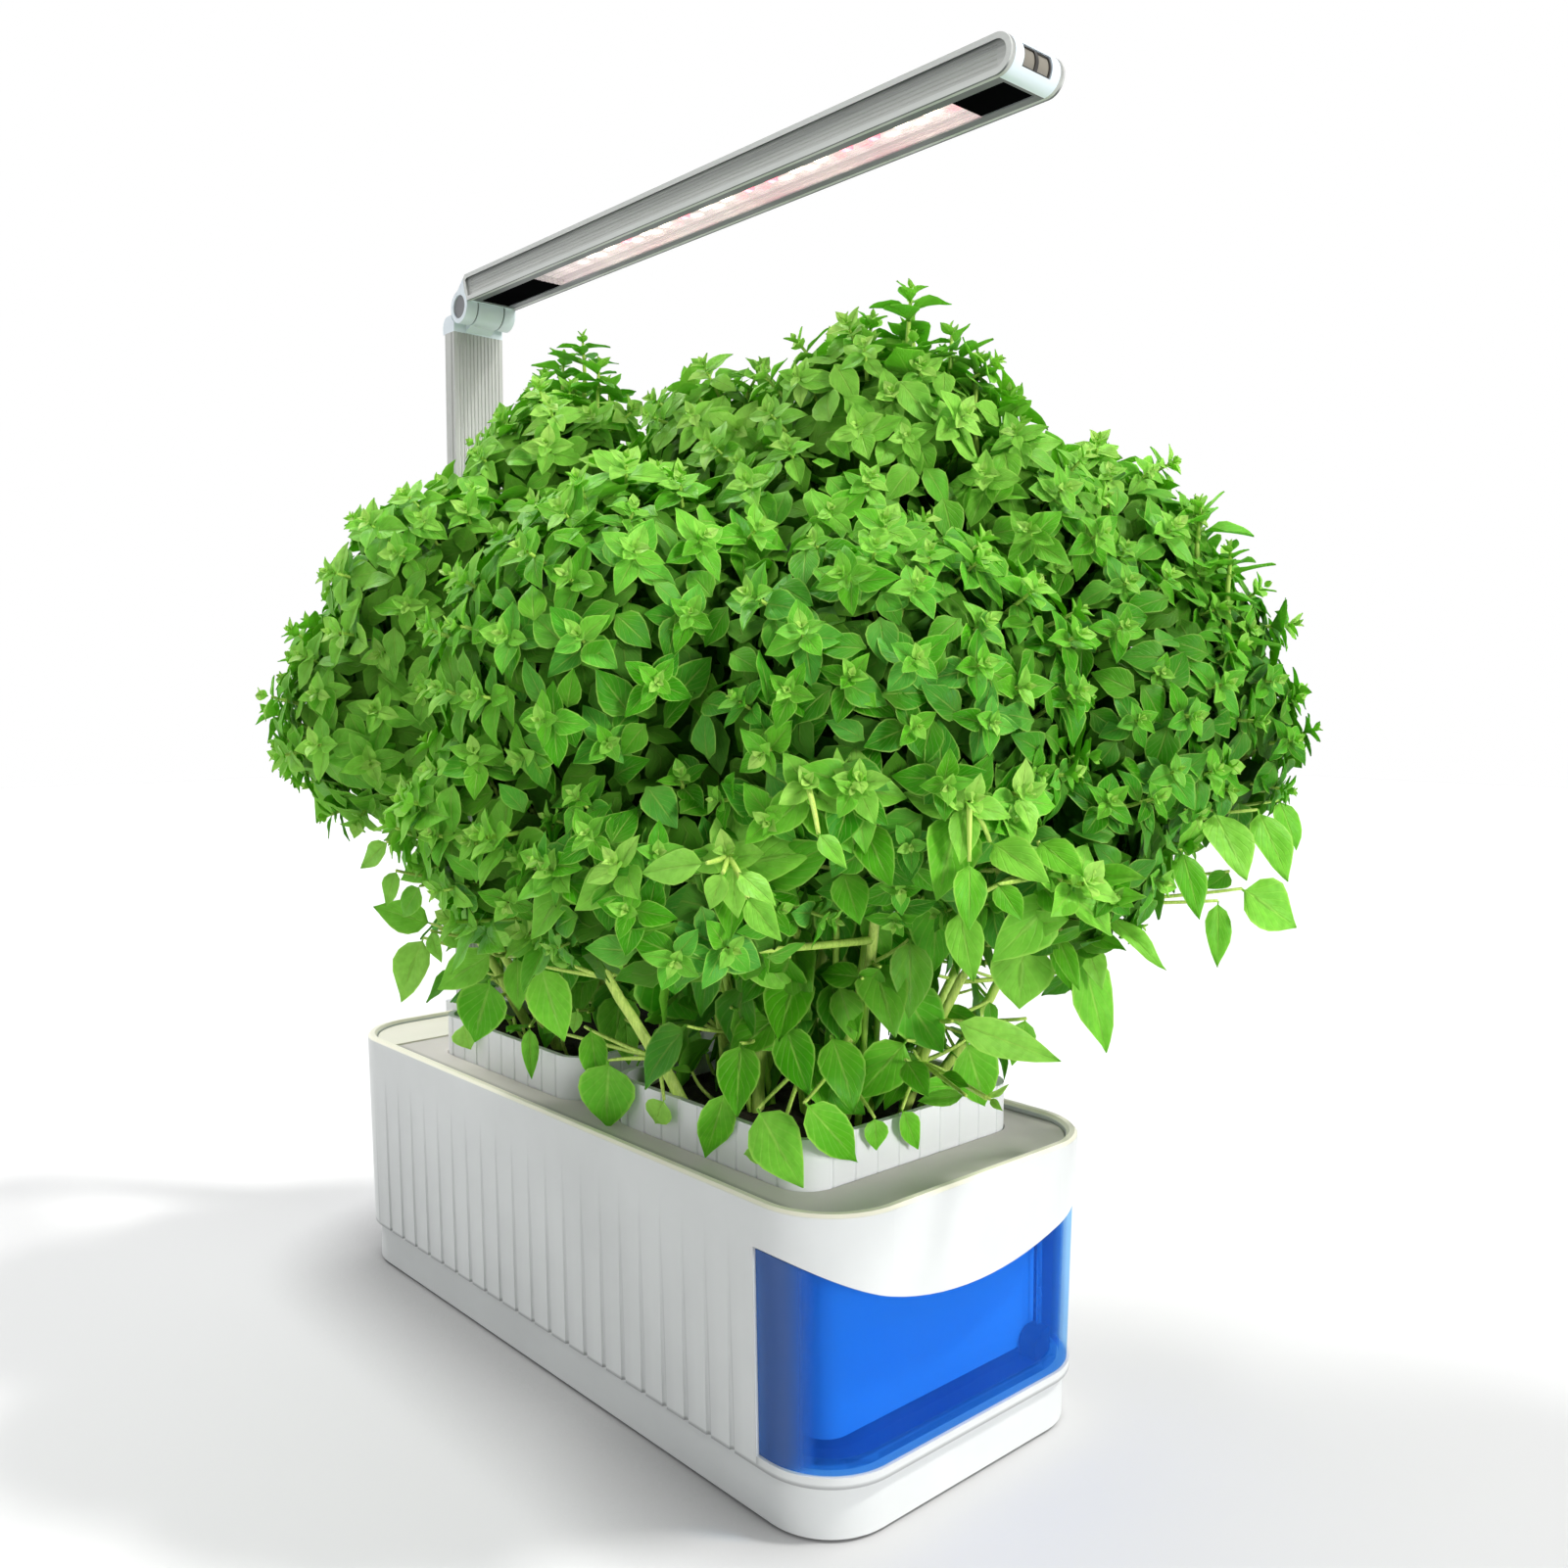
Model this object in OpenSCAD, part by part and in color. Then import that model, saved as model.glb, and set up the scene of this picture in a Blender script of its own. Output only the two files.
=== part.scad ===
// Countertop hydroponic garden: a water base with a see-through end window, two lift-out
// planting trays of basil, and a folding grow lamp on a post at the rear end.
// Millimetres. The origin is the middle of the footprint, on the surface it stands on.
// +X points to the window end, -Y to the near fluted side, +Z up.

/* [Shell] */
// Length of the shell over its rim
shell_l = 270; // [262:1:290]
// Width of the shell over its rim
shell_w = 118.4; // [116:0.1:130]
// Height of the rim above the table
rim_z = 87.9; // [86:0.1:94]
// Height of the seam between shell and plinth
seam_z = 15.5; // [14.5:0.1:17.5]
// Wall of the shell
shell_wall = 3.4; // [2.8:0.1:3.8]
// How far each side leans in from the rim to the seam
shell_draft = 1.6; // [0.6:0.1:2]
// Corner radius at the rim
shell_r = 24; // [21:0.5:27]
// Thickness of the flange at the foot of the shell
flange_t = 3.1; // [2.6:0.1:3.6]
// Reach of that flange in from the wall
flange_reach = 10; // [9:0.5:12]
// Softening of the rim's edges
rim_edge = 0.9; // [0.5:0.1:1.2]
// Number of flutes on each long side
flute_n = 21; // [11:1:23]
// Smooth length kept free at each end of a straight side
flute_margin = 11; // [9:0.5:16]
// Middle of the row of flutes along the shell
flute_mid = -3; // [-8:1:0]
// Radius of the tool that cuts a flute
flute_r = 1.1; // [0.8:0.1:1.5]
// Depth of a flute at the seam
flute_depth = 0.9; // [0.5:0.1:1.2]
// Height at which the flutes run out
flute_top = 76; // [60:1:80]

/* [Window] */
// How far the window reaches back round each corner
window_wrap = 28; // [24:1:34]
// Height of the window's arched edge at its lowest point
window_dip_z = 58.3; // [50:0.5:62]
// Radius of that arch
window_arch_r = 110; // [100:1:130]
// How deep the pane sits in the shell
pane_recess = 0.8; // [0.4:0.1:1.2]
// Thickness of the pane
pane_t = 2.4; // [1.8:0.1:2.6]

/* [Plinth] */
// Step in from the shell to the plinth
plinth_step = 2; // [1:0.1:3]
// Wall of the plinth
plinth_wall = 3; // [2.4:0.1:3.6]
// Thickness of the plinth's top plate
plinth_plate = 3; // [2.5:0.1:3.5]
// Gap under the plinth's edge
foot_gap = 1; // [0.6:0.1:1.6]
// Radius of a rubber foot
foot_r = 8; // [6:0.5:9]
// Height of a rubber foot
foot_h = 3.2; // [2.6:0.1:4]
// Distance of the feet's middles from the ends of the base
foot_end = 27; // [25:0.5:36]
// Distance of the feet's middles from the sides of the base
foot_side = 25.2; // [24:0.1:32]

/* [Tank] */
// Wall of the water tank
tank_wall = 2; // [1.6:0.1:2.4]
// Distance of the tank's rear wall from the rear end
tank_bay = 35; // [33:0.5:37]
// Top of the tank, where the deck rests
tank_top_z = 83.5; // [82.5:0.1:84]
// Water gap between the liner and the tank at the window
front_water = 6.76; // [6:0.1:8]
// Water gap between the liner and the tank at the rear
rear_water = 5.45; // [4:0.1:7]
// Water gap between the liner and the tank along the sides
side_water = 5.4; // [4.4:0.1:6]
// Wall of the liner
liner_wall = 1.8; // [1.4:0.1:1.9]
// Corner radius of the liner
liner_r = 8; // [6:0.5:9]
// Height of the liner's feet
liner_foot_h = 2.2; // [2:0.1:3]
// Radius of the float's guide rod
rod_r = 0.8; // [0.6:0.1:1]
// Length of the float along the window
float_l = 11; // [8:0.5:12]
// Height of the float
float_h = 8; // [6:0.5:10]

/* [Deck and rear bay] */
// Thickness of the deck and of the rear cover
deck_t = 2.5; // [2:0.1:3]
// How much the rear cover stands above the deck
cover_step = 0.5; // [0.2:0.1:0.8]
// Distance of the joint between deck and rear cover from the rear end
cover_bay = 31.6; // [30.6:0.1:32.4]
// Length of the control board
board_l = 88; // [70:1:92]
// Width of the control board
board_w = 15; // [12:0.5:16]
// Length of the posts that carry the control board
board_post_h = 14; // [12:0.5:18]
// Distance of the power inlet from where the rear corner begins
jack_inset = 7; // [6.6:0.1:9]
// Height of the power inlet
jack_z = 55; // [52:0.5:58]
// Radius of the power inlet's bore
jack_bore_r = 2.8; // [2.7:0.05:3]

/* [Trays] */
// Distance between the two trays
tray_gap = 18.8; // [16:0.1:24]
// Free length in the liner behind the rear tray
tray_rear_gap = 2.55; // [2:0.05:4]
// Free length in the liner in front of the front tray
tray_front_gap = 7.75; // [6:0.05:10]
// Free width in the liner on each side of a tray
tray_side_gap = 0.3; // [0.3:0.05:1.5]
// Top of the trays above the table
tray_top_z = 100; // [96:0.5:104]
// Wall of a tray
tray_wall = 2; // [1.6:0.1:2.4]
// Corner radius of a tray
tray_r = 10; // [8:0.5:12]
// Spacing of the grooves round a tray
groove_pitch = 8.6; // [7:0.1:10]
// Depth of soil below the tray's top
soil_drop = 6; // [4:0.5:10]
// Radius of a wick
wick_r = 2; // [1.5:0.1:2.4]
// Distance of the wicks from the tray's middle
wick_d = 24; // [18:1:28]

/* [Plants] */
// Height at which the stems turn upright
fork_z = 150; // [140:1:160]
// Radius of a stem
stem_r = 2; // [1.6:0.1:2.4]
// Gap between the two crowns
crown_gap = 2; // [1:0.5:4]
// Gap between the stems and the crown they carry
leaf_gap = 0.3; // [0.2:0.1:0.5]

/* [Lamp post] */
// Depth of the lamp post, front to back
post_d = 8.8; // [7.5:0.1:9.2]
// Width of the lamp post and the lamp head
lamp_w = 21.8; // [20:0.1:23]
// Height of the post's lower end above the table
post_foot_z = 40; // [36:1:44]
// How far the post stops below the hinge axis
post_stop = 8.6; // [8:0.1:10]
// Distance of the post's inner face behind the hinge axis
post_back = 4.3; // [3.9:0.1:5]
// Wall of the lamp socket
socket_wall = 3; // [2.4:0.1:3.4]
// Foot of the lamp socket above the table
socket_foot_z = 31; // [28:1:33]
// Collar of the socket above the rim
collar_h = 3; // [1:0.5:5]

/* [Hinge] */
// Distance of the hinge axis from the rear end of the base
hinge_end = 9.9; // [9.6:0.1:10.4]
// Height of the hinge axis
hinge_z = 370; // [360:1:380]
// Radius of the hinge barrel
barrel_r = 6.3; // [5.8:0.1:6.6]
// Radius of the hinge pin
pin_r = 3; // [2.5:0.1:3.3]
// Running clearance round the hinge pin
pin_clear = 0.06; // [0.03:0.01:0.09]
// Width of the middle knuckle
knuckle_w = 11; // [10:0.5:12]
// Thickness of a friction washer
washer_t = 0.6; // [0.4:0.1:1]

/* [Lamp head] */
// Length of the head from the hinge axis to its nose
head_l = 274.1; // [268:0.1:278]
// Height of the head
head_h = 10.2; // [9.8:0.1:11]
// Height of the head's underside above the hinge axis
head_lift = 1.1; // [1:0.1:1.5]
// Thickness of a side trim
trim_t = 1.8; // [1.5:0.1:2.2]
// Width of the raised rim round a side trim
trim_rim = 1.6; // [1.2:0.1:2]
// Depth of the panel inside that rim
trim_recess = 0.8; // [0.5:0.1:1]
// Width of the light opening
light_w = 12.5; // [11:0.1:13]
// Thickness of the lips that hold the lens
lip_t = 1.2; // [0.9:0.1:1.5]
// Thickness of the lens and of the black masks
lens_t = 1.5; // [1.2:0.1:1.8]
// Number of light emitting diodes
led_n = 17; // [9:1:17]
// Spacing of the diodes
led_pitch = 10.8; // [9:0.1:10.8]

/* [Clearances] */
// Gap between pieces that are only set together
fit = 0.2; // [0.1:0.05:0.3]
// Gap between a lift-out piece and what it slides in
slide = 0.4; // [0.3:0.05:0.6]
// Gap between the float and its guide rod
rod_clear = 0.08; // [0.05:0.01:0.1]

/* [Hidden] */
$fn = 64;
far = 600;

half_l = shell_l / 2;
half_w = shell_w / 2;
corner_x = half_l - shell_r;
corner_y = half_w - shell_r;
flange_z = seam_z + flange_t;
plinth_r = leaning_r(seam_z, plinth_step);
deck_top_z = tank_top_z + deck_t;
deck_inset = shell_wall + slide;
deck_rear_x = -half_l + cover_bay;
flute_pitch = 2 * (corner_x - flute_margin) / (flute_n - 1);
window_x = half_l - window_wrap;

tank_inset = shell_wall + slide;
tank_rear_x = -half_l + tank_bay;
tank_floor_z = flange_z + tank_wall;
tank_front_x = corner_x + leaning_r(tank_floor_z, tank_inset + tank_wall);
tank_side_y = corner_y + leaning_r(tank_floor_z, tank_inset + tank_wall);
liner_floor_z = tank_floor_z + liner_foot_h;
liner_front_x = tank_front_x - front_water;
liner_rear_x = tank_rear_x + tank_wall + rear_water;
liner_mid_x = (liner_front_x + liner_rear_x) / 2;
liner_l = liner_front_x - liner_rear_x;
liner_w = 2 * (tank_side_y - side_water);
tray_rear_x = liner_rear_x + liner_wall + tray_rear_gap;
tray_front_x = liner_front_x - liner_wall - tray_front_gap;
tray_mid_x = (tray_rear_x + tray_front_x) / 2;
tray_l = (tray_front_x - tray_rear_x - tray_gap) / 2;
tray_w = liner_w - 2 * liner_wall - 2 * tray_side_gap;
tray_foot_z = liner_floor_z + liner_wall + fit;
tray_x = [tray_rear_x + tray_l / 2, tray_front_x - tray_l / 2];
soil_top_z = tray_top_z - soil_drop;
soil_foot_z = tray_foot_z + tray_wall;

bay_ledge_w = 3;
bay_ledge_t = 2.5;
cover_top_z = deck_top_z + cover_step;
cover_foot_z = cover_top_z - deck_t;
board_mid_x = deck_rear_x - 12.2;
board_t = 1.6;
board_top_z = cover_foot_z - board_post_h;
board_post_x = board_mid_x;
board_post_y = board_l / 2 - 5;

float_t = front_water - 2 * slide;
float_x = (tank_front_x + liner_front_x) / 2;
float_y = corner_y + 4.3;

hinge_x = -half_l + hinge_end;
post_front_x = hinge_x - post_back;
post_rear_x = post_front_x - post_d;
post_mid_x = (post_front_x + post_rear_x) / 2;
post_top_z = hinge_z - post_stop;
socket_rear_x = post_rear_x - fit - socket_wall;
socket_front_x = post_front_x + fit + socket_wall;
socket_half_w = lamp_w / 2 + fit + socket_wall;
socket_top_z = rim_z + collar_h;
socket_ear_w = 8;
socket_ear_h = 10;
ear_x = -half_l + shell_wall + shell_draft + 0.6;
ear_t = 2.2;
ear_screw_z = [socket_foot_z + 8, rim_z - 17];
ear_screws = [for (s = [-1, 1], z = ear_screw_z) [s * (socket_half_w + 4.2), z]];
clamp_z = rim_z - 22;

head_foot_z = hinge_z + head_lift;
head_top_z = head_foot_z + head_h;
head_mid_z = (head_foot_z + head_top_z) / 2;
nose_x = hinge_x + head_l;
nose_r = head_h / 2;
body_front_x = nose_x - nose_r;
head_rear_top_x = hinge_x + 3.5;
head_rear_foot_x = hinge_x + 5.5;
end_cap_x = head_rear_foot_x + 1;
channel_rear_x = end_cap_x + 1.2;
body_half_w = lamp_w / 2 - trim_t - 0.05;
pocket_half_w = body_half_w - 1.2;
roof_t = 2;
roof_z = head_top_z - roof_t;
lens_foot_z = head_foot_z + lip_t;
lens_top_z = lens_foot_z + lens_t;
plug_l = 5;
mask_rear_x = channel_rear_x + 1;
mask_joint_x = mask_rear_x + 38;
nose_mask_front_x = body_front_x - 1;
nose_mask_rear_x = nose_mask_front_x - 17.4;
led_board_t = 1.6;
led_h = 1.2;
led_w = 3;
led_board_foot_z = lens_top_z + 0.3 + led_h;
led_board_top_z = led_board_foot_z + led_board_t;
led_board_x0 = channel_rear_x + plug_l + 1;
led_board_x1 = body_front_x - plug_l - 1;
led_last_x = nose_mask_rear_x - 2;
red_places = [2, 5, 8, 9, 12, 13, 16];
knuckle_half = knuckle_w / 2;
ring_in = knuckle_half + washer_t;
ring_out = lamp_w / 2;
cap_t = 1.4;
cap_sink = 0.5;
pin_half_l = ring_out - cap_sink - cap_t;

stem_reach = 60;
// Crown lobes: [x, y, z, radius], the larger masses of leaves, with x and y from the tray's middle
front_lobes = [
  [8.8, 0, 235, 69], [58.8, 42, 215, 55], [73.8, 82, 208, 40], [13.8, 75, 238, 57],
  [-4.2, -58, 225, 57], [51.8, -28, 212, 57], [19.8, 2, 285, 37], [49.8, 62, 252, 41],
  [-18.2, -84, 186, 37], [25.8, -70, 172, 39], [79.8, 12, 175, 39], [7.8, 112, 208, 37],
  [-20.2, -12, 282, 35]
];
rear_lobes = [
  [1, 0, 235, 59], [-13, -56, 222, 49], [5, -84, 212, 37], [-19, -72, 212, 37],
  [25, -32, 283, 35], [5, 48, 238, 49], [-29, 38, 222, 33], [19, -58, 240, 51],
  [31, 30, 278, 33]
];
// Stems: [foot x, foot y, top x, top y] from the tray's middle
stems = [
  [0, 0, 0, 4], [-22, -18, -30, -34], [24, -20, 34, -40],
  [-20, 20, -26, 34], [22, 22, 36, 38], [2, -28, 6, -52], [0, 28, 4, 50]
];

function draft_at(z) = shell_draft * (rim_z - z) / (rim_z - seam_z);
function leaning_r(z, inset) = shell_r - draft_at(z) - inset;
function side_y(z) = corner_y + leaning_r(z, 0);
function led_x(i) = led_last_x - (led_n - 1 - i) * led_pitch;
function is_red(i) = len([for (k = red_places) if (k == i) 1]) > 0;

// Rounded block between two heights, with its corner radius growing from r0 to r1
module rounded_frustum(z0, z1, r0, r1) {
  for (sx = [-1, 1], sy = [-1, 1])
    translate([sx * corner_x, sy * corner_y, z0])
      cylinder(h = z1 - z0, r1 = r0, r2 = r1);
  rotate([90, 0, 0])
    linear_extrude(2 * corner_y, center = true)
      polygon([[-corner_x - r0, z0], [corner_x + r0, z0], [corner_x + r1, z1], [-corner_x - r1, z1]]);
  rotate([90, 0, 90])
    linear_extrude(2 * corner_x, center = true)
      polygon([[-corner_y - r0, z0], [corner_y + r0, z0], [corner_y + r1, z1], [-corner_y - r1, z1]]);
}

// Block that leans with the shell, set in from its outer face
module leaning_block(z0, z1, inset) {
  rounded_frustum(z0, z1, leaning_r(z0, inset), leaning_r(z1, inset));
}

// Upright box with round corners, centred on x and y, standing on z0
module rounded_box(l, w, r, z0, z1) {
  translate([0, 0, z0]) {
    translate([-l / 2 + r, -w / 2, 0]) cube([l - 2 * r, w, z1 - z0]);
    translate([-l / 2, -w / 2 + r, 0]) cube([l, w - 2 * r, z1 - z0]);
    for (sx = [-1, 1], sy = [-1, 1])
      translate([sx * (l / 2 - r), sy * (w / 2 - r), 0]) cylinder(h = z1 - z0, r = r);
  }
}

// Everything in front of x0, or behind it
module ahead_of(x0) {
  translate([x0, -far / 2, 0]) cube([far, far, far]);
}

module behind(x0) {
  translate([x0 - far, -far / 2, 0]) cube([far, far, far]);
}

// Cylinder along X from x0 to x1, and along Y from y0 to y1
module rod_x(x0, x1, r) {
  translate([x0, 0, 0]) rotate([0, 90, 0]) cylinder(h = x1 - x0, r = r);
}

module rod_y(y0, y1, r) {
  translate([0, y1, 0]) rotate([90, 0, 0]) cylinder(h = y1 - y0, r = r);
}

// Screw with a pan head under z0, its shank pointing up
module screw_up(z0, head_r, head_t, shank_r, shank_l) {
  translate([0, 0, z0 - head_t]) difference() {
    cylinder(h = head_t, r = head_r);
    for (a = [0, 90]) rotate([0, 0, a])
      translate([-head_r * 0.6, -0.3, -1]) cube([head_r * 1.2, 0.6, 1.8]);
  }
  translate([0, 0, z0]) cylinder(h = shank_l, r = shank_r);
}

/* ---- base ---- */

foot_x = half_l - foot_end;
foot_y = half_w - foot_side;
foot_boss_r = foot_r + 2.2;
plinth_rib_pitch = foot_x / 2.7;
plinth_screw_x = [-foot_x + 16, 0, foot_x - 16];
plinth_screw_y = half_w - shell_wall - flange_reach / 2 - 2.6;
plinth_plate_z = seam_z - plinth_plate;
screw_r = 1.3;
screw_head_r = 2.6;
screw_head_t = 1.8;

module at_feet() {
  for (sx = [-1, 1], sy = [-1, 1]) translate([sx * foot_x, sy * foot_y, 0]) children();
}

module at_plinth_screws() {
  for (x = plinth_screw_x, s = [-1, 1]) translate([x, s * plinth_screw_y, 0]) children();
}

module base_plinth() {
  color("whitesmoke") difference() {
    union() {
      difference() {
        rounded_frustum(foot_gap, seam_z, plinth_r, plinth_r);
        rounded_frustum(0, plinth_plate_z, plinth_r - plinth_wall, plinth_r - plinth_wall);
      }
      at_feet() translate([0, 0, foot_gap]) cylinder(h = seam_z - foot_gap - 1, r = foot_boss_r);
      for (k = [-1.5:1.5]) translate([k * plinth_rib_pitch - 0.9, -half_w + 8, plinth_plate_z - 5])
        cube([1.8, 2 * half_w - 16, 5.5]);
    }
    at_feet() cylinder(h = foot_h, r = foot_r + fit);
    at_plinth_screws() cylinder(h = far, r = screw_r + fit);
  }
}

module rubber_feet() {
  color("dimgray") at_feet() cylinder(h = foot_h, r = foot_r);
}

module plinth_screws() {
  color("silver") at_plinth_screws()
    screw_up(plinth_plate_z, screw_head_r, screw_head_t, screw_r, plinth_plate + flange_t - 0.4);
}

module flute(x, side) {
  lean_in = draft_at(seam_z) - draft_at(flute_top);
  rise = flute_top - seam_z;
  tip = atan((flute_depth + lean_in) / rise);
  foot_y0 = side_y(seam_z) + flute_r - flute_depth;
  translate([x, side * foot_y0, seam_z]) rotate([side * -tip, 0, 0])
    translate([0, 0, -2]) cylinder(h = rise + 6, r = flute_r, $fn = 24);
}

// The window's outline, as a block from outside the shell to inside; clear shrinks it
module window_block(clear) {
  difference() {
    translate([window_x + clear, -half_w, flange_z + clear])
      cube([half_l, shell_w, window_dip_z + 20 - flange_z]);
    translate([0, 0, window_dip_z + window_arch_r])
      rod_x(window_x - 5, far, window_arch_r + clear, $fn = 180);
  }
}

module socket_hole(clear) {
  translate([-half_l - 20, -socket_half_w - clear, socket_foot_z - clear])
    cube([20 + 2 * shell_wall + shell_draft, 2 * (socket_half_w + clear), far]);
}

module outer_shell() {
  color("white") difference() {
    union() {
      difference() {
        union() {
          leaning_block(seam_z, rim_z - rim_edge, 0);
          rounded_frustum(rim_z - rim_edge, rim_z, leaning_r(rim_z, 0), leaning_r(rim_z, rim_edge));
        }
        leaning_block(flange_z, rim_z + 1, shell_wall);
        rounded_frustum(rim_z - rim_edge, rim_z + 1,
          leaning_r(rim_z, shell_wall), leaning_r(rim_z, shell_wall - 1 - rim_edge));
        leaning_block(seam_z - 1, flange_z + 1, shell_wall + flange_reach);
      }
      bay_ledge();
      ear_bosses();
    }
    for (s = [-1, 1], i = [0:flute_n - 1])
      flute(flute_mid + (i - (flute_n - 1) / 2) * flute_pitch, s);
    window_block(0);
    socket_hole(fit);
    at_plinth_screws() translate([0, 0, seam_z - 1]) cylinder(h = flange_t + 2, r = screw_r + 0.02);
    translate([0, jack_y, jack_z]) rod_x(-half_l - 5, -half_l + 12, jack_body_r + fit);
    for (p = ear_screws) translate([0, p[0], p[1]]) rod_x(ear_x - 3.8, ear_x + 5, screw_r + 0.02);
  }
}

// Ledge round the rear bay that carries the rear cover
module bay_ledge() {
  intersection() {
    difference() {
      leaning_block(cover_foot_z - bay_ledge_t, cover_foot_z, shell_wall - 0.5);
      leaning_block(cover_foot_z - bay_ledge_t - 1, cover_foot_z + 1, shell_wall + bay_ledge_w);
    }
    behind(deck_rear_x - fit);
  }
}

// Bosses on the rear wall for the lamp socket's ears
module ear_bosses() {
  for (p = ear_screws) translate([0, p[0], p[1]])
    rod_x(-half_l + draft_at(p[1]) + shell_wall / 2, ear_x - 0.05, 3.6);
}

module water_window() {
  color([0.2, 0.45, 0.95, 0.6]) difference() {
    intersection() {
      leaning_block(flange_z + fit, rim_z - 5, pane_recess);
      window_block(fit);
    }
    leaning_block(flange_z - 1, rim_z, pane_recess + pane_t);
  }
}

module water_tank() {
  color([0.25, 0.5, 0.95, 0.5]) union() {
    difference() {
      intersection() {
        leaning_block(flange_z, tank_top_z, tank_inset);
        ahead_of(tank_rear_x);
      }
      intersection() {
        leaning_block(tank_floor_z, tank_top_z + 1, tank_inset + tank_wall);
        ahead_of(tank_rear_x + tank_wall);
      }
    }
  }
}

liner_foot_x = [-liner_l / 2 + 16.75, 0, liner_l / 2 - 16.75];
liner_foot_y = liner_w / 2 - 10.5;
liner_foot_r = 4;
rib_w = 4;
rib_h = 8;
drain_l = 28;
drain_w = 3;
drain_pitch = 9;

module planter_liner() {
  color("white") translate([liner_mid_x, 0, 0]) difference() {
    union() {
      rounded_box(liner_l, liner_w, liner_r, liner_floor_z, tank_top_z - fit);
      for (x = liner_foot_x, s = [-1, 1])
        translate([x, s * liner_foot_y, tank_floor_z]) cylinder(h = liner_foot_h + 1, r = liner_foot_r);
    }
    difference() {
      rounded_box(liner_l - 2 * liner_wall, liner_w - 2 * liner_wall, liner_r - liner_wall,
        liner_floor_z + liner_wall, far);
      translate([tray_mid_x - liner_mid_x - rib_w / 2, -half_w, 0])
        cube([rib_w, shell_w, liner_floor_z + liner_wall + rib_h]);
    }
    for (x = tray_x, sx = [-1, 1], sy = [-1, 1])
      translate([x - liner_mid_x + sx * wick_d, sy * wick_d, 0]) cylinder(h = far, r = wick_r + 1.2);
    for (x = tray_x, k = [-1, 0, 1])
      translate([x - liner_mid_x - drain_l / 2, k * drain_pitch - drain_w / 2, 0])
        cube([drain_l, drain_w, liner_floor_z + liner_wall + 1]);
  }
}

module float_guide_rod() {
  color("silver") translate([float_x, float_y, tank_floor_z])
    cylinder(h = tank_top_z - tank_floor_z - fit, r = rod_r, $fn = 32);
}

module level_float() {
  float_foot_z = tank_floor_z + fit;
  round_r = float_l * 0.4;
  color([0.15, 0.17, 0.2]) difference() {
    intersection() {
      leaning_block(float_foot_z, tank_top_z, tank_inset + tank_wall + slide);
      translate([float_x, float_y, float_foot_z]) float_shape(round_r);
    }
    translate([float_x, float_y, 0]) cylinder(h = far, r = rod_r + rod_clear, $fn = 32);
  }
}

module float_shape(round_r) {
  straight_h = float_h - round_r;
  translate([-float_t / 2, -float_l / 2, 0]) cube([float_t, float_l, straight_h]);
  translate([-float_t / 2, -float_l / 2 + round_r, 0])
    cube([float_t, float_l - 2 * round_r, float_h]);
  for (s = [-1, 1]) translate([0, s * (float_l / 2 - round_r), straight_h])
    rod_x(-float_t / 2, float_t / 2, round_r);
}

/* ---- deck and rear bay ---- */

module planting_deck() {
  color([0.75, 0.74, 0.69]) difference() {
    intersection() {
      rounded_frustum(tank_top_z, deck_top_z, leaning_r(tank_top_z, deck_inset),
        leaning_r(tank_top_z, deck_inset));
      ahead_of(deck_rear_x);
    }
    for (x = tray_x) translate([x, 0, 0])
      rounded_box(tray_l + 2 * slide, tray_w + 2 * slide, tray_r + slide, tank_top_z - 1, far);
  }
}

module rear_bay_cover() {
  color([0.93, 0.92, 0.88]) difference() {
    union() {
      intersection() {
        rounded_frustum(cover_foot_z, cover_top_z, leaning_r(cover_foot_z, deck_inset),
          leaning_r(cover_foot_z, deck_inset));
        behind(deck_rear_x - fit);
      }
      for (s = [-1, 1]) translate([board_post_x, s * board_post_y, board_top_z])
        cylinder(h = board_post_h + 1, r = 3);
    }
    socket_hole(fit);
    translate([socket_rear_x, -socket_half_w - fit, 0])
      cube([socket_front_x - socket_rear_x + fit, 2 * (socket_half_w + fit), far]);
    for (s = [-1, 1]) translate([board_post_x, s * board_post_y, board_top_z - 1])
      cylinder(h = 9, r = 1.02);
  }
}

module control_board() {
  color("darkgreen") difference() {
    translate([board_mid_x - board_w / 2, -board_l / 2, board_top_z - board_t])
      cube([board_w, board_l, board_t]);
    for (s = [-1, 1]) translate([board_post_x, s * board_post_y, 0]) cylinder(h = far, r = 1.2);
  }
}

module board_components() {
  parts_z = board_top_z - board_t;
  color("black") {
    translate([board_mid_x - 4, -24, parts_z - 1.6]) cube([8, 8, 1.6]);
    translate([board_mid_x - 3, -6, parts_z - 1.4]) cube([6, 5, 1.4]);
    translate([board_mid_x, 8, parts_z - 8]) cylinder(h = 8, r = 3);
    translate([board_mid_x, 17, parts_z - 8]) cylinder(h = 8, r = 3);
    translate([board_mid_x - 5, 24, parts_z - 6]) cube([10, 7, 6]);
  }
}

module board_screws() {
  color("silver") for (s = [-1, 1]) translate([board_post_x, s * board_post_y, 0])
    screw_up(board_top_z - board_t, 2.2, 1.4, 1, 8);
}

jack_y = corner_y - jack_inset;
jack_body_r = 4.2;
jack_flange_r = 5.8;
jack_depth = 14;
jack_nut_r = 6.4;
jack_face_x = -half_l + draft_at(jack_z + jack_flange_r);

module dc_jack() {
  color("black") translate([0, jack_y, jack_z]) difference() {
    union() {
      rod_x(jack_face_x - 1.4, jack_face_x - 0.1, jack_flange_r);
      rod_x(jack_face_x - 0.2, jack_face_x + jack_depth, jack_body_r);
    }
    difference() {
      rod_x(jack_face_x - 3, jack_face_x + 8, jack_bore_r);
      rod_x(jack_face_x - 1, jack_face_x + 9, 1);
    }
  }
}

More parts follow.
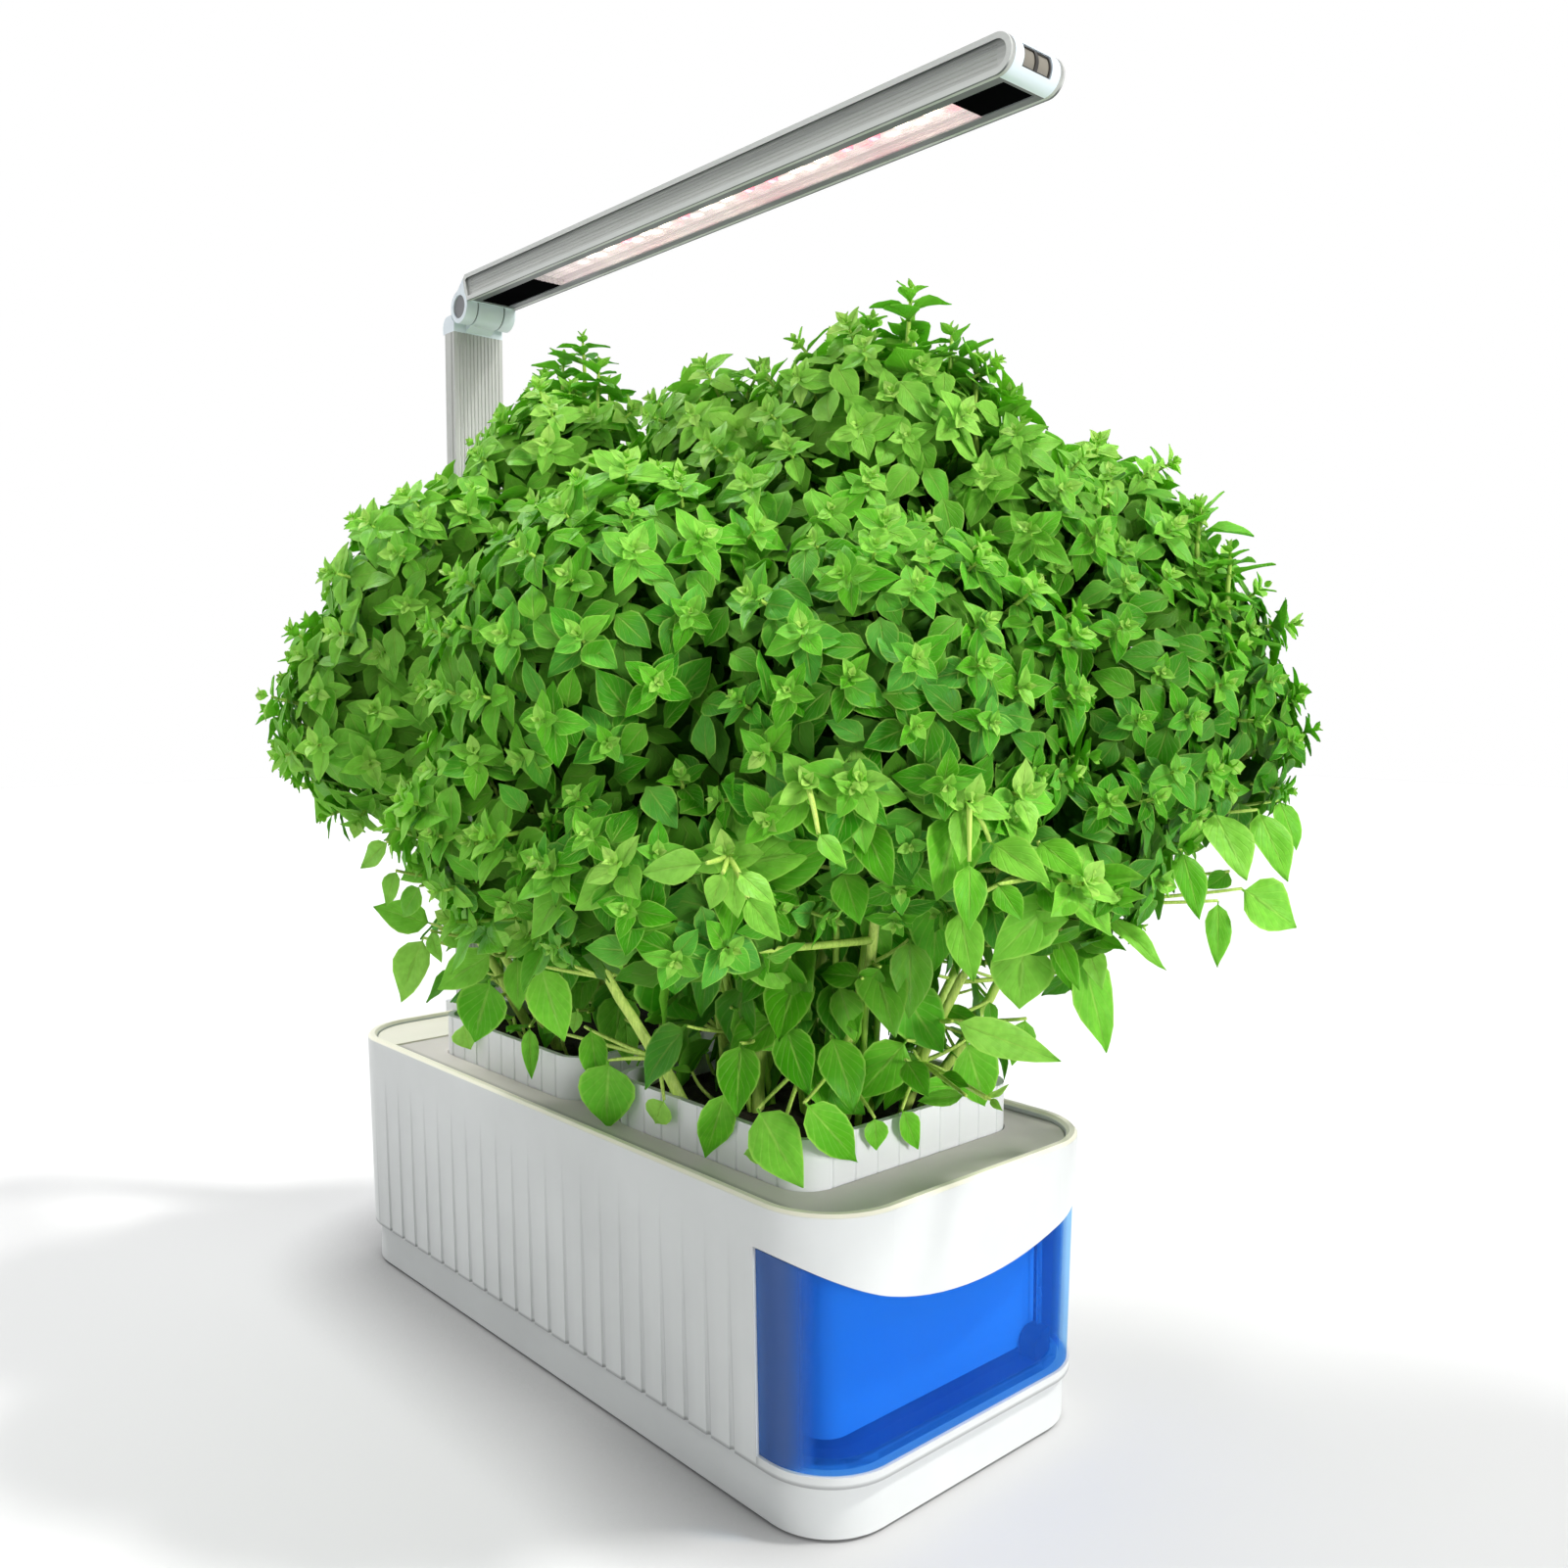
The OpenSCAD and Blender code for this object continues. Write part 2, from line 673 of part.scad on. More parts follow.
module jack_nut() {
  nut_x = -half_l + draft_at(jack_z - jack_nut_r) + shell_wall + 0.05;
  color("silver") translate([nut_x, jack_y, jack_z]) rotate([0, 90, 0]) difference() {
    cylinder(h = 2, r = jack_nut_r, $fn = 6);
    translate([0, 0, -1]) cylinder(h = 4, r = jack_body_r + 0.05);
  }
}

/* ---- lamp post ---- */

module lamp_socket() {
  block_w = 2 * socket_half_w;
  pocket_l = post_d + 2 * fit;
  color("white") difference() {
    union() {
      translate([(socket_rear_x + socket_front_x) / 2, 0, 0])
        rounded_box(socket_front_x - socket_rear_x, block_w, 2.5, socket_foot_z, socket_top_z);
      for (z = ear_screw_z) translate([ear_x, -socket_half_w - socket_ear_w, z - socket_ear_h / 2])
        cube([ear_t, block_w + 2 * socket_ear_w, socket_ear_h]);
    }
    translate([post_rear_x - fit, -lamp_w / 2 - fit, post_foot_z])
      cube([pocket_l, lamp_w + 2 * fit, far]);
    for (p = ear_screws) translate([0, p[0], p[1]]) rod_x(ear_x - 1, ear_x + 5, screw_r + fit);
    translate([0, 0, clamp_z]) rod_x(socket_rear_x - 1, socket_front_x + 1, 2.05);
    translate([0, 0, clamp_z]) rod_x(socket_rear_x - 1, socket_rear_x + 1.6, 4);
  }
}

module socket_screws() {
  color("silver") for (p = ear_screws) translate([ear_x + ear_t, p[0], p[1]])
    rotate([0, -90, 0]) screw_up(0, screw_head_r, screw_head_t, screw_r, ear_t + 3);
}

module post_clamp_screw() {
  color("silver") translate([socket_rear_x + 1.6, 0, clamp_z]) rotate([0, 90, 0])
    screw_up(0, 3.6, 1.4, 2, socket_front_x - socket_rear_x - 2.2);
}

post_groove_n = 12;
post_groove_pitch = 1.6;

module lamp_post() {
  post_l = post_top_z - post_foot_z;
  color([0.74, 0.74, 0.72]) difference() {
    union() {
      translate([post_rear_x + 2, -lamp_w / 2, post_foot_z]) cube([post_d - 2, lamp_w, post_l]);
      translate([post_rear_x, -lamp_w / 2 + 2, post_foot_z]) cube([post_d, lamp_w - 4, post_l]);
      for (s = [-1, 1]) translate([post_rear_x + 2, s * (lamp_w / 2 - 2), post_foot_z])
        cylinder(h = post_l, r = 2);
    }
    translate([post_mid_x - 2.2, -7.5, 0]) cube([4.4, 15, far]);
    for (i = [0:post_groove_n - 1])
      translate([post_front_x + 0.1, (i - (post_groove_n - 1) / 2) * post_groove_pitch, 0])
        cylinder(h = far, r = 0.45, $fn = 16);
    for (s = [-1, 1]) translate([post_front_x - 2, s * (lamp_w / 2 + 0.15), 0])
      cylinder(h = far, r = 0.5, $fn = 16);
    translate([0, 0, clamp_z]) rod_x(post_rear_x - 1, post_front_x + 1, 2.05);
  }
}

barrel_gap = 0.4;

module post_head() {
  shoulder_z = hinge_z - 2;
  shoulder_r = 4;
  color([0.8, 0.81, 0.81]) difference() {
    union() {
      difference() {
        intersection() {
          union() {
            translate([post_rear_x, -lamp_w / 2, post_top_z])
              cube([post_d, lamp_w, shoulder_z - shoulder_r - post_top_z]);
            translate([post_rear_x + shoulder_r, -lamp_w / 2, post_top_z])
              cube([post_d - shoulder_r, lamp_w, shoulder_z - post_top_z]);
            translate([post_rear_x + shoulder_r, 0, shoulder_z - shoulder_r])
              rod_y(-lamp_w / 2, lamp_w / 2, shoulder_r);
          }
          translate([post_rear_x, -lamp_w / 2, post_top_z]) cube([post_d, lamp_w, 2 * barrel_r]);
        }
        translate([hinge_x, 0, hinge_z]) rod_y(-far, far, barrel_r + barrel_gap);
      }
      translate([hinge_x, 0, hinge_z]) rod_y(-knuckle_half, knuckle_half, barrel_r);
      translate([0, knuckle_half, 0]) rotate([90, 0, 0]) linear_extrude(knuckle_w)
        polygon([
          [post_rear_x + shoulder_r, post_top_z + 0.5], [post_front_x, post_top_z + 0.5],
          [hinge_x - 1, hinge_z - barrel_r + 0.1], [hinge_x, hinge_z],
          [post_rear_x + shoulder_r, shoulder_z]
        ]);
      translate([post_mid_x - 2.1, -7.4, post_top_z - 16]) cube([4.2, 14.8, 17]);
    }
    translate([hinge_x, 0, hinge_z]) rod_y(-far, far, pin_r + pin_clear);
  }
}

/* ---- hinge and lamp head ---- */

module at_hinge() {
  translate([hinge_x, 0, hinge_z]) children();
}

module hinge_pin() {
  color("gray") at_hinge() rod_y(-pin_half_l, pin_half_l, pin_r);
}

module hinge_caps() {
  color([0.55, 0.55, 0.57]) at_hinge() for (s = [-1, 1]) mirror([0, s > 0 ? 0 : 1, 0])
    rod_y(pin_half_l + 0.02, pin_half_l + cap_t, pin_r + 1.4);
}

module friction_washers() {
  color("dimgray") at_hinge() for (s = [-1, 1]) mirror([0, s > 0 ? 0 : 1, 0]) difference() {
    rod_y(knuckle_half + 0.02, ring_in - 0.02, barrel_r - 0.5);
    rod_y(0, far, pin_r + pin_clear);
  }
}

// End cap of the head: two outer knuckles, the webs that carry them, and a plug for the channel
module head_end_cap() {
  color([0.86, 0.9, 0.93]) difference() {
    union() {
      for (s = [-1, 1]) mirror([0, s > 0 ? 0 : 1, 0]) {
        at_hinge() rod_y(ring_in, ring_out, barrel_r);
        translate([0, ring_out, 0]) rotate([90, 0, 0]) linear_extrude(ring_out - ring_in)
          polygon([
            [hinge_x - 1, hinge_z + barrel_r - 0.1], [head_rear_top_x - 0.2, head_top_z - 1.2],
            [head_rear_foot_x - 0.35, head_foot_z + 1], [hinge_x + barrel_r - 0.6, hinge_z - 2]
          ]);
      }
      rotate([90, 0, 0]) linear_extrude(2 * body_half_w, center = true)
        polygon([
          [head_rear_top_x - 1.5, head_top_z - 1.6], [head_rear_top_x + 1, head_top_z],
          [channel_rear_x - 0.05, head_top_z], [channel_rear_x - 0.05, head_foot_z],
          [head_rear_foot_x - 0.6, head_foot_z]
        ]);
      translate([channel_rear_x - 1, -pocket_half_w + fit, lens_top_z + fit])
        cube([plug_l + 1, 2 * (pocket_half_w - fit), roof_z - lens_top_z - 2 * fit]);
    }
    at_hinge() rod_y(-ring_in + 0.01, ring_in - 0.01, barrel_r + barrel_gap);
    at_hinge() rod_y(-far, far, pin_r + 0.02);
    at_hinge() for (s = [-1, 1]) mirror([0, s > 0 ? 0 : 1, 0])
      rod_y(pin_half_l, far, pin_r + 1.45);
  }
}

// Extruded channel of the head, with two ribs and three bosses that the diode board hangs on
module head_channel() {
  top_groove_n = 7;
  hang_h = roof_z - led_board_top_z;
  color([0.76, 0.76, 0.74]) difference() {
    union() {
      difference() {
        translate([channel_rear_x, -body_half_w, head_foot_z])
          cube([body_front_x - 0.05 - channel_rear_x, 2 * body_half_w, head_h]);
        translate([channel_rear_x - 1, -pocket_half_w, lens_foot_z])
          cube([far, 2 * pocket_half_w, roof_z - lens_foot_z]);
        translate([mask_rear_x, -light_w / 2, head_foot_z - 1])
          cube([nose_mask_front_x - mask_rear_x, light_w, lip_t + 2]);
        for (i = [0:top_groove_n - 1])
          translate([0, (i - (top_groove_n - 1) / 2) * 2, head_top_z + 0.1])
            rod_x(-far, far, 0.4, $fn = 16);
      }
      for (s = [-1, 1]) translate([led_board_x0, s * 5.5 - 0.7, led_board_top_z])
        cube([led_board_x1 - led_board_x0, 1.4, hang_h + 0.5]);
      for (x = led_screw_x) translate([x, 0, led_board_top_z])
        cylinder(h = hang_h + 0.5, r = 2.4, $fn = 24);
    }
    for (x = led_screw_x) translate([x, 0, 0]) cylinder(h = far, r = 0.82, $fn = 24);
  }
}

// Long side of the head: rounded at the nose, slanted at the hinge; inset shrinks it
module side_outline(inset, y0, t) {
  r = nose_r - inset;
  translate([body_front_x, 0, head_mid_z]) rod_y(y0, y0 + t, r);
  translate([0, y0 + t, 0]) rotate([90, 0, 0]) linear_extrude(t)
    polygon([
      [head_rear_top_x + inset, head_top_z - 1.4 - inset / 2],
      [head_rear_top_x + 1.2 + inset, head_top_z - inset],
      [body_front_x, head_top_z - inset], [body_front_x, head_foot_z + inset],
      [head_rear_foot_x + inset, head_foot_z + inset]
    ]);
}

side_groove_n = 5;

module side_trim(side) {
  mirror([0, side > 0 ? 0 : 1, 0]) color([0.76, 0.76, 0.74]) difference() {
    side_outline(0, lamp_w / 2 - trim_t, trim_t);
    side_outline(trim_rim, lamp_w / 2 - trim_recess, trim_t);
    for (i = [0:side_groove_n - 1])
      translate([0, lamp_w / 2 - trim_recess + 0.1, head_mid_z + (i - (side_groove_n - 1) / 2) * 1.15])
        rod_x(head_rear_foot_x + 3, body_front_x, 0.28, $fn = 16);
    at_hinge() rod_y(-far, far, barrel_r + 0.05);
  }
}

module near_side_trim() {
  side_trim(-1);
}

module far_side_trim() {
  side_trim(1);
}

window_half_w = 5.7;
window_half_h = 2.8;
window_depth = 1.4;

module nose_block(inset) {
  translate([body_front_x, 0, head_mid_z]) rod_y(-body_half_w, body_half_w, nose_r - inset);
}

module nose_cap() {
  color([0.9, 0.94, 0.98]) difference() {
    union() {
      intersection() {
        nose_block(0);
        ahead_of(body_front_x);
      }
      translate([body_front_x - plug_l, -pocket_half_w + fit, lens_top_z + fit])
        cube([plug_l + 1, 2 * (pocket_half_w - fit), roof_z - lens_top_z - 2 * fit]);
    }
    difference() {
      translate([body_front_x, -window_half_w, head_mid_z - window_half_h])
        cube([nose_r + 1, 2 * window_half_w, 2 * window_half_h]);
      nose_block(0.4 + window_depth);
    }
  }
}

module nose_panes(clear) {
  for (s = [-1, 1]) translate([0, s * window_half_w / 2, 0])
    translate([body_front_x, -window_half_w / 2 + 0.6 + clear, head_mid_z - window_half_h + 0.5 + clear])
      cube([nose_r + 1, window_half_w - 1.2 - 2 * clear, 2 * (window_half_h - 0.5 - clear)]);
}

module nose_window() {
  color([0.65, 0.62, 0.58, 0.7]) difference() {
    intersection() {
      nose_block(0.8);
      nose_panes(0.05);
    }
    nose_block(0.4 + window_depth - 0.02);
  }
}

module nose_window_frame() {
  color([0.35, 0.34, 0.32]) difference() {
    intersection() {
      nose_block(0.45);
      translate([body_front_x, -window_half_w + 0.05, head_mid_z - window_half_h + 0.05])
        cube([nose_r + 1, 2 * window_half_w - 0.1, 2 * window_half_h - 0.1]);
    }
    nose_block(0.4 + window_depth - 0.02);
    nose_panes(0);
  }
}

led_screw_x = [led_board_x0 + 5, led_x(floor(led_n / 3)) + led_pitch / 2, led_board_x1 - 5];

module led_board() {
  color("white") difference() {
    translate([led_board_x0, -pocket_half_w + fit, led_board_foot_z])
      cube([led_board_x1 - led_board_x0, 2 * (pocket_half_w - fit), led_board_t]);
    for (x = led_screw_x) translate([x, 0, 0]) cylinder(h = far, r = 1, $fn = 24);
  }
}

module led_board_screws() {
  color("silver") for (x = led_screw_x) translate([x, 0, 0])
    screw_up(led_board_foot_z, 1.5, 0.9, 0.8, head_top_z - led_board_foot_z - 0.5);
}

module diode(i) {
  translate([led_x(i) - 1.75, -led_w / 2, led_board_foot_z - led_h]) cube([3.5, led_w, led_h]);
}

module white_leds() {
  color("lightyellow") for (i = [0:led_n - 1]) if (!is_red(i)) diode(i);
}

module red_leds() {
  color("crimson") for (i = [0:led_n - 1]) if (is_red(i)) diode(i);
}

module lens_strip(x0, x1) {
  translate([x0, -pocket_half_w + fit, lens_foot_z]) cube([x1 - x0, 2 * (pocket_half_w - fit), lens_t]);
}

module lamp_lens() {
  rib_n = 6;
  color([0.95, 0.93, 0.93, 0.4]) difference() {
    union() {
      lens_strip(mask_joint_x + 0.1, nose_mask_rear_x - 0.1);
      translate([mask_joint_x + 0.1, -light_w / 2 + fit, head_foot_z + 0.3])
        cube([nose_mask_rear_x - mask_joint_x - 0.2, light_w - 2 * fit, lip_t]);
    }
    for (i = [0:rib_n - 1])
      translate([0, (i - (rib_n - 1) / 2) * 1.9, head_foot_z + 0.25]) rod_x(-far, far, 0.3, $fn = 16);
  }
}

module touch_mask() {
  color("black") {
    lens_strip(mask_rear_x, mask_joint_x);
    translate([mask_rear_x + fit, -light_w / 2 + fit, head_foot_z + 0.3])
      cube([mask_joint_x - mask_rear_x - fit, light_w - 2 * fit, lip_t]);
  }
}

module nose_mask() {
  color("black") {
    lens_strip(nose_mask_rear_x, nose_mask_front_x);
    translate([nose_mask_rear_x, -light_w / 2 + fit, head_foot_z + 0.3])
      cube([nose_mask_front_x - nose_mask_rear_x - fit, light_w - 2 * fit, lip_t]);
  }
}

/* ---- trays and plants ---- */

module at_wicks() {
  for (sx = [-1, 1], sy = [-1, 1]) translate([sx * wick_d, sy * wick_d, 0]) children();
}

module tray_grooves() {
  n_l = floor((tray_l - 2 * tray_r) / groove_pitch / 2);
  n_w = floor((tray_w - 2 * tray_r) / groove_pitch / 2);
  for (s = [-1, 1], i = [-n_l:n_l])
    translate([i * groove_pitch, s * (tray_w / 2 + 0.25), 0]) cylinder(h = far, r = 0.6, $fn = 16);
  for (s = [-1, 1], i = [-n_w:n_w])
    translate([s * (tray_l / 2 + 0.25), i * groove_pitch, 0]) cylinder(h = far, r = 0.6, $fn = 16);
}

module tray(i) {
  color("white") translate([tray_x[i], 0, 0]) difference() {
    rounded_box(tray_l, tray_w, tray_r, tray_foot_z, tray_top_z);
    rounded_box(tray_l - 2 * tray_wall, tray_w - 2 * tray_wall, tray_r - tray_wall, soil_foot_z, far);
    tray_grooves();
    at_wicks() cylinder(h = far, r = wick_r + 0.1);
  }
}

module soil(i) {
  color([0.16, 0.12, 0.09]) translate([tray_x[i], 0, 0]) difference() {
    rounded_box(tray_l - 2 * tray_wall - 2 * fit, tray_w - 2 * tray_wall - 2 * fit,
      tray_r - tray_wall - fit, soil_foot_z, soil_top_z);
    at_wicks() translate([0, 0, soil_foot_z - 1]) cylinder(h = wick_rise + 1, r = wick_r + 0.1);
  }
}

wick_rise = 18;

module wicks(i) {
  color("wheat") translate([tray_x[i], 0, 0]) at_wicks() translate([0, 0, tank_floor_z + 0.6])
    cylinder(h = soil_foot_z + wick_rise - tank_floor_z - 0.6, r = wick_r);
}

module stem(p) {
  hull() {
    translate([p[0], p[1], soil_top_z + 0.02]) cylinder(h = 1, r = stem_r + 0.6, $fn = 8);
    translate([p[2], p[3], fork_z]) sphere(r = stem_r, $fn = 8);
  }
  hull() {
    translate([p[2], p[3], fork_z]) sphere(r = stem_r, $fn = 8);
    translate([p[2], p[3], fork_z + stem_reach]) sphere(r = stem_r - 0.4, $fn = 8);
  }
}

module lobe(p, grow) {
  hull() translate([p[0], p[1], p[2]]) scale([1, 1, 0.92]) sphere(r = p[3] + grow, $fn = 18);
}

// Stems of one tray, from the soil up to the underside of the crown
module stems_of(i, lobes) {
  color([0.6, 0.75, 0.35]) translate([tray_x[i], 0, 0]) difference() {
    for (p = stems) stem(p);
    for (p = lobes) lobe(p, leaf_gap);
  }
}

// Crown of one tray: overlapping lobes, cut off where the other tray's crown begins
module crown(i, lobes) {
  meet_x = tray_mid_x + (i == 0 ? -1 : 1) * crown_gap / 2;
  color([0.3, 0.6, 0.15]) intersection() {
    translate([tray_x[i], 0, 0]) for (p = lobes) lobe(p, 0);
    translate([meet_x + (i == 0 ? -far : 0), -far / 2, 0]) cube([far, far, far]);
  }
}

module rear_tray() {
  tray(0);
}

module front_tray() {
  tray(1);
}

module rear_soil() {
  soil(0);
}

module front_soil() {
  soil(1);
}

module rear_wicks() {
  wicks(0);
}

module front_wicks() {
  wicks(1);
}

module rear_stems() {
  stems_of(0, rear_lobes);
}

module front_stems() {
  stems_of(1, front_lobes);
}

module rear_basil() {
  crown(0, rear_lobes);
}

module front_basil() {
  crown(1, front_lobes);
}

base_plinth();
rubber_feet();
plinth_screws();
outer_shell();
water_window();
water_tank();
planter_liner();
float_guide_rod();
level_float();
planting_deck();
rear_bay_cover();
control_board();
board_components();
board_screws();
dc_jack();
jack_nut();
lamp_socket();
socket_screws();
post_clamp_screw();
lamp_post();
post_head();
hinge_pin();
hinge_caps();
friction_washers();
head_end_cap();
head_channel();
near_side_trim();
far_side_trim();
nose_cap();
nose_window();
nose_window_frame();
led_board();
led_board_screws();
white_leds();
red_leds();
lamp_lens();
touch_mask();
nose_mask();
rear_tray();
rear_soil();
rear_wicks();
rear_stems();
rear_basil();
front_tray();
front_soil();
front_wicks();
front_stems();
front_basil();
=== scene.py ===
"""Countertop hydroponic garden: materials, foliage, soil and light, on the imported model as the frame."""

import math

import bpy
import numpy as np
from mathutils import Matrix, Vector


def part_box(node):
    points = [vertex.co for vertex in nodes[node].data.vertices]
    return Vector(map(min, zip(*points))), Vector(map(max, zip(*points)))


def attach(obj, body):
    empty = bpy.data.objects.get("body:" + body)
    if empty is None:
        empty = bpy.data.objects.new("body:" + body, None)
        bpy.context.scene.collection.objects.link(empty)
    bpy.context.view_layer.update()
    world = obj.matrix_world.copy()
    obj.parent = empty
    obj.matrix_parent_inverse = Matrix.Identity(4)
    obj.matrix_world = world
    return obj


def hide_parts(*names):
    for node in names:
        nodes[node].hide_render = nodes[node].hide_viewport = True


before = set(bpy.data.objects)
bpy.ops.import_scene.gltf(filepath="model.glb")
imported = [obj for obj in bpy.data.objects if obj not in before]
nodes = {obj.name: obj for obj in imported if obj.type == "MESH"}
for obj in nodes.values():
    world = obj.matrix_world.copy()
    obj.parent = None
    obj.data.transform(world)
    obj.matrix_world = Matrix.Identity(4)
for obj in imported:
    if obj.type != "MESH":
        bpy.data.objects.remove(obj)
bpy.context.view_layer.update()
MM = 0.001
UP = np.array([0, 0, 1.0])

# -------------------- camera

CAM_AT = Vector((0.36701, -0.28281, 0.21911))
CAM_LOOK = Vector((-0.74026, 0.66880, -0.06875))
SENSOR_WIDTH, FOCAL_LENGTH = 36.0, 31.21
cam_data = bpy.data.cameras.new("camera")
cam = bpy.data.objects.new("camera", cam_data)
bpy.context.scene.collection.objects.link(cam)
bpy.context.scene.camera = cam
cam_data.sensor_width, cam_data.lens = SENSOR_WIDTH, FOCAL_LENGTH
cam_data.clip_start, cam_data.clip_end = 0.01, 50.0
cam.location = CAM_AT
cam.rotation_mode = "QUATERNION"
cam.rotation_quaternion = CAM_LOOK.to_track_quat("-Z", "Y")

# -------------------- node helpers


def lin(r, g, b):
    """Linear colour from 0-255 display values."""
    return tuple(c / 255 / 12.92 if c <= 10.3 else ((c / 255 + 0.055) / 1.055) ** 2.4 for c in (r, g, b))


class Nodes:
    """Short ways to add nodes to a node tree."""

    def __init__(self, tree):
        self.nt = tree

    def put(self, socket, value):
        """Feeds an input with the output of another node, a number or a colour."""
        if isinstance(value, bpy.types.NodeSocket):
            self.nt.links.new(value, socket)
        else:
            socket.default_value = (*value, 1) if socket.type == "RGBA" else value

    def n(self, kind, *inputs, **props):
        """A node: its first inputs in order, others as i_Name, and the rest are its settings."""
        node = self.nt.nodes.new("ShaderNode" + kind)
        for k, v in props.items():
            if k.startswith("i_"):
                self.put(node.inputs[k[2:].replace("_", " ")], v)
            else:
                setattr(node, k, v)
        for socket, v in zip(node.inputs, inputs):
            self.put(socket, v)
        return node

    def math(self, op, *values):
        return self.n("Math", *values, operation=op).outputs[0]

    def mul(self, a, b):
        return self.math("MULTIPLY", a, b)

    def span(self, value, lo, hi, a=0.0, b=1.0):
        """A number: a where value is lo, b where it is hi."""
        return self.n("MapRange", value, lo, hi, a, b).outputs[0]

    def mix(self, fac, a, b):
        m = self.n("Mix", fac, data_type="RGBA")
        self.put(m.inputs[6], a)
        self.put(m.inputs[7], b)
        return m.outputs[2]

    def fade(self, value, lo, hi, a, b):
        """A colour: a where value is lo, b where it is hi."""
        return self.mix(self.span(value, lo, hi), a, b)

    def place(self, scale=(1, 1, 1)):
        at = self.n("TexCoord").outputs["Object"]
        return self.n("Mapping", at, i_Scale=scale).outputs["Vector"]

    def where(self):
        """x, y and z of the position in the object, and of the surface's normal."""
        pos = self.n("SeparateXYZ", self.n("TexCoord").outputs["Object"])
        nor = self.n("SeparateXYZ", self.n("NewGeometry").outputs["Normal"])
        return pos.outputs, nor.outputs

    def noise(self, scale, detail=3.0, rough=0.5, stretch=(1, 1, 1)):
        at = self.place(stretch)
        return self.n("TexNoise", at, i_Scale=scale, i_Detail=detail, i_Roughness=rough).outputs["Fac"]

    def bump(self, height, strength, distance):
        return self.n("Bump", i_Strength=strength, i_Distance=distance, i_Height=height).outputs["Normal"]


class Mat(Nodes):
    """A material with a Principled shader. Its sockets are set by name, with _ for a space."""

    def __init__(self, name, color, rough=0.4, **sockets):
        self.m = bpy.data.materials.new(name)
        self.m.use_nodes = True
        super().__init__(self.m.node_tree)
        self.bsdf = self.nt.nodes["Principled BSDF"]
        self.set(Base_Color=color, Roughness=rough, **sockets)

    def set(self, **sockets):
        for k, v in sockets.items():
            self.put(self.bsdf.inputs[k.replace("_", " ")], v)

    def color(self):
        """What feeds the base colour so far."""
        return self.bsdf.inputs["Base Color"].links[0].from_socket

    def surface(self, shader):
        self.put(self.nt.nodes["Material Output"].inputs[0], shader.outputs[0])

    def see_through(self, tint, solid):
        """Mixes in a tinted see-through shader; solid is the share that stays."""
        clear = self.n("BsdfTransparent", tint)
        self.surface(self.n("MixShader", solid, clear.outputs[0], self.bsdf.outputs[0]))


def moulded(name, color, rough=0.38, grain=0.05, mottle=0.025, **sockets):
    """Moulded plastic: fine grain, faint cloudiness in colour and in gloss."""
    m = Mat(name, color, rough, **sockets)
    darker = tuple(c * (1 - 2 * mottle) for c in color)
    lighter = tuple(min(1.0, c * (1 + mottle)) for c in color)
    m.set(Base_Color=m.fade(m.noise(28, 4), 0.3, 0.7, darker, lighter),
          Roughness=m.span(m.noise(160, 3), 0.25, 0.75, rough - 0.05, rough + 0.07),
          Normal=m.bump(m.noise(2600, 2), grain, 0.0002))
    return m


def metal(name, color, rough, stretch, line=0.12, metallic=1.0, scale=900):
    """Brushed metal: long fine lines along one axis."""
    m = Mat(name, color, rough, Metallic=metallic)
    lines = m.noise(scale, 3, 0.6, stretch)
    darker = tuple(c * (1 - line) for c in color)
    lighter = tuple(min(1, c * (1 + line / 2)) for c in color)
    m.set(Base_Color=m.fade(lines, 0.3, 0.7, darker, lighter),
          Roughness=m.span(m.noise(60, 3), 0.3, 0.7, rough - 0.06, rough + 0.08),
          Normal=m.bump(lines, 0.12, 0.0001))
    return m


def dress(mat, names):
    """Gives the material to the carried-over nodes of these names."""
    for name in names.split():
        slots = nodes[name].data.materials
        slots.clear()
        slots.append(mat.m)


# -------------------- materials of the carried-over nodes

SHELL = (0.70, 0.72, 0.715)
FLUTE_PITCH, FLUTE_START, FLUTE_END = 10 * MM, -0.203, 0.110
RIM_Z, SEAM_Z = 0.0868, 0.0168
ALONG_X, ALONG_Z = (0.02, 1, 1), (1, 1, 0.02)  # stretches of the brushed lines
# painted shade for the undersides of the lamp head's channel and trims
UNDERSIDE_SHADE = lin(98, 101, 102)


def shell_material():
    """Shell: the rim's upper face painted cream-white as painted light, painted shade in the flutes from
    their sharp edge, and a dark seam line on the plinth painted as shade in the joint.
    """
    m = moulded("shell_plastic", SHELL, 0.36, 0.04)
    pos, nor = m.where()
    # painted light: the upward face of the rim is painted cream-white
    top = m.mul(m.span(pos[2], RIM_Z, RIM_Z + 0.0005), m.span(nor[2], 0.2, 0.6))
    rim_top_light = m.mix(top, m.color(), lin(250, 246, 226))
    # painted shade in the flutes: on the long sides only, dying out upwards
    along = m.math("FRACT", m.mul(m.math("ADD", pos[0], -FLUTE_START), 1 / FLUTE_PITCH))
    flute_shade = m.math("MAXIMUM", m.span(along, 0, 0.16, 1, 0), m.span(along, 0.965, 1))
    flute_shade = m.math("MAXIMUM", flute_shade, m.span(along, 0, 0.5, 0.35, 0))
    side = m.mul(m.span(m.math("ABSOLUTE", nor[1]), 0.6, 0.85), m.span(pos[2], 0.078, 0.017))
    side = m.mul(side, m.span(pos[0], FLUTE_END, FLUTE_END - 0.002))
    painted_shade = m.mul(m.mul(flute_shade, side), 0.36)
    # a dark joint line at the foot of the shell, painted as the shade in the gap above the plinth
    seam_shade = m.span(pos[2], SEAM_Z, SEAM_Z - 0.0009, 0, 0.5)
    m.set(Base_Color=m.mix(m.math("MAXIMUM", painted_shade, seam_shade), rim_top_light, (0.05, 0.055, 0.06)))
    return m


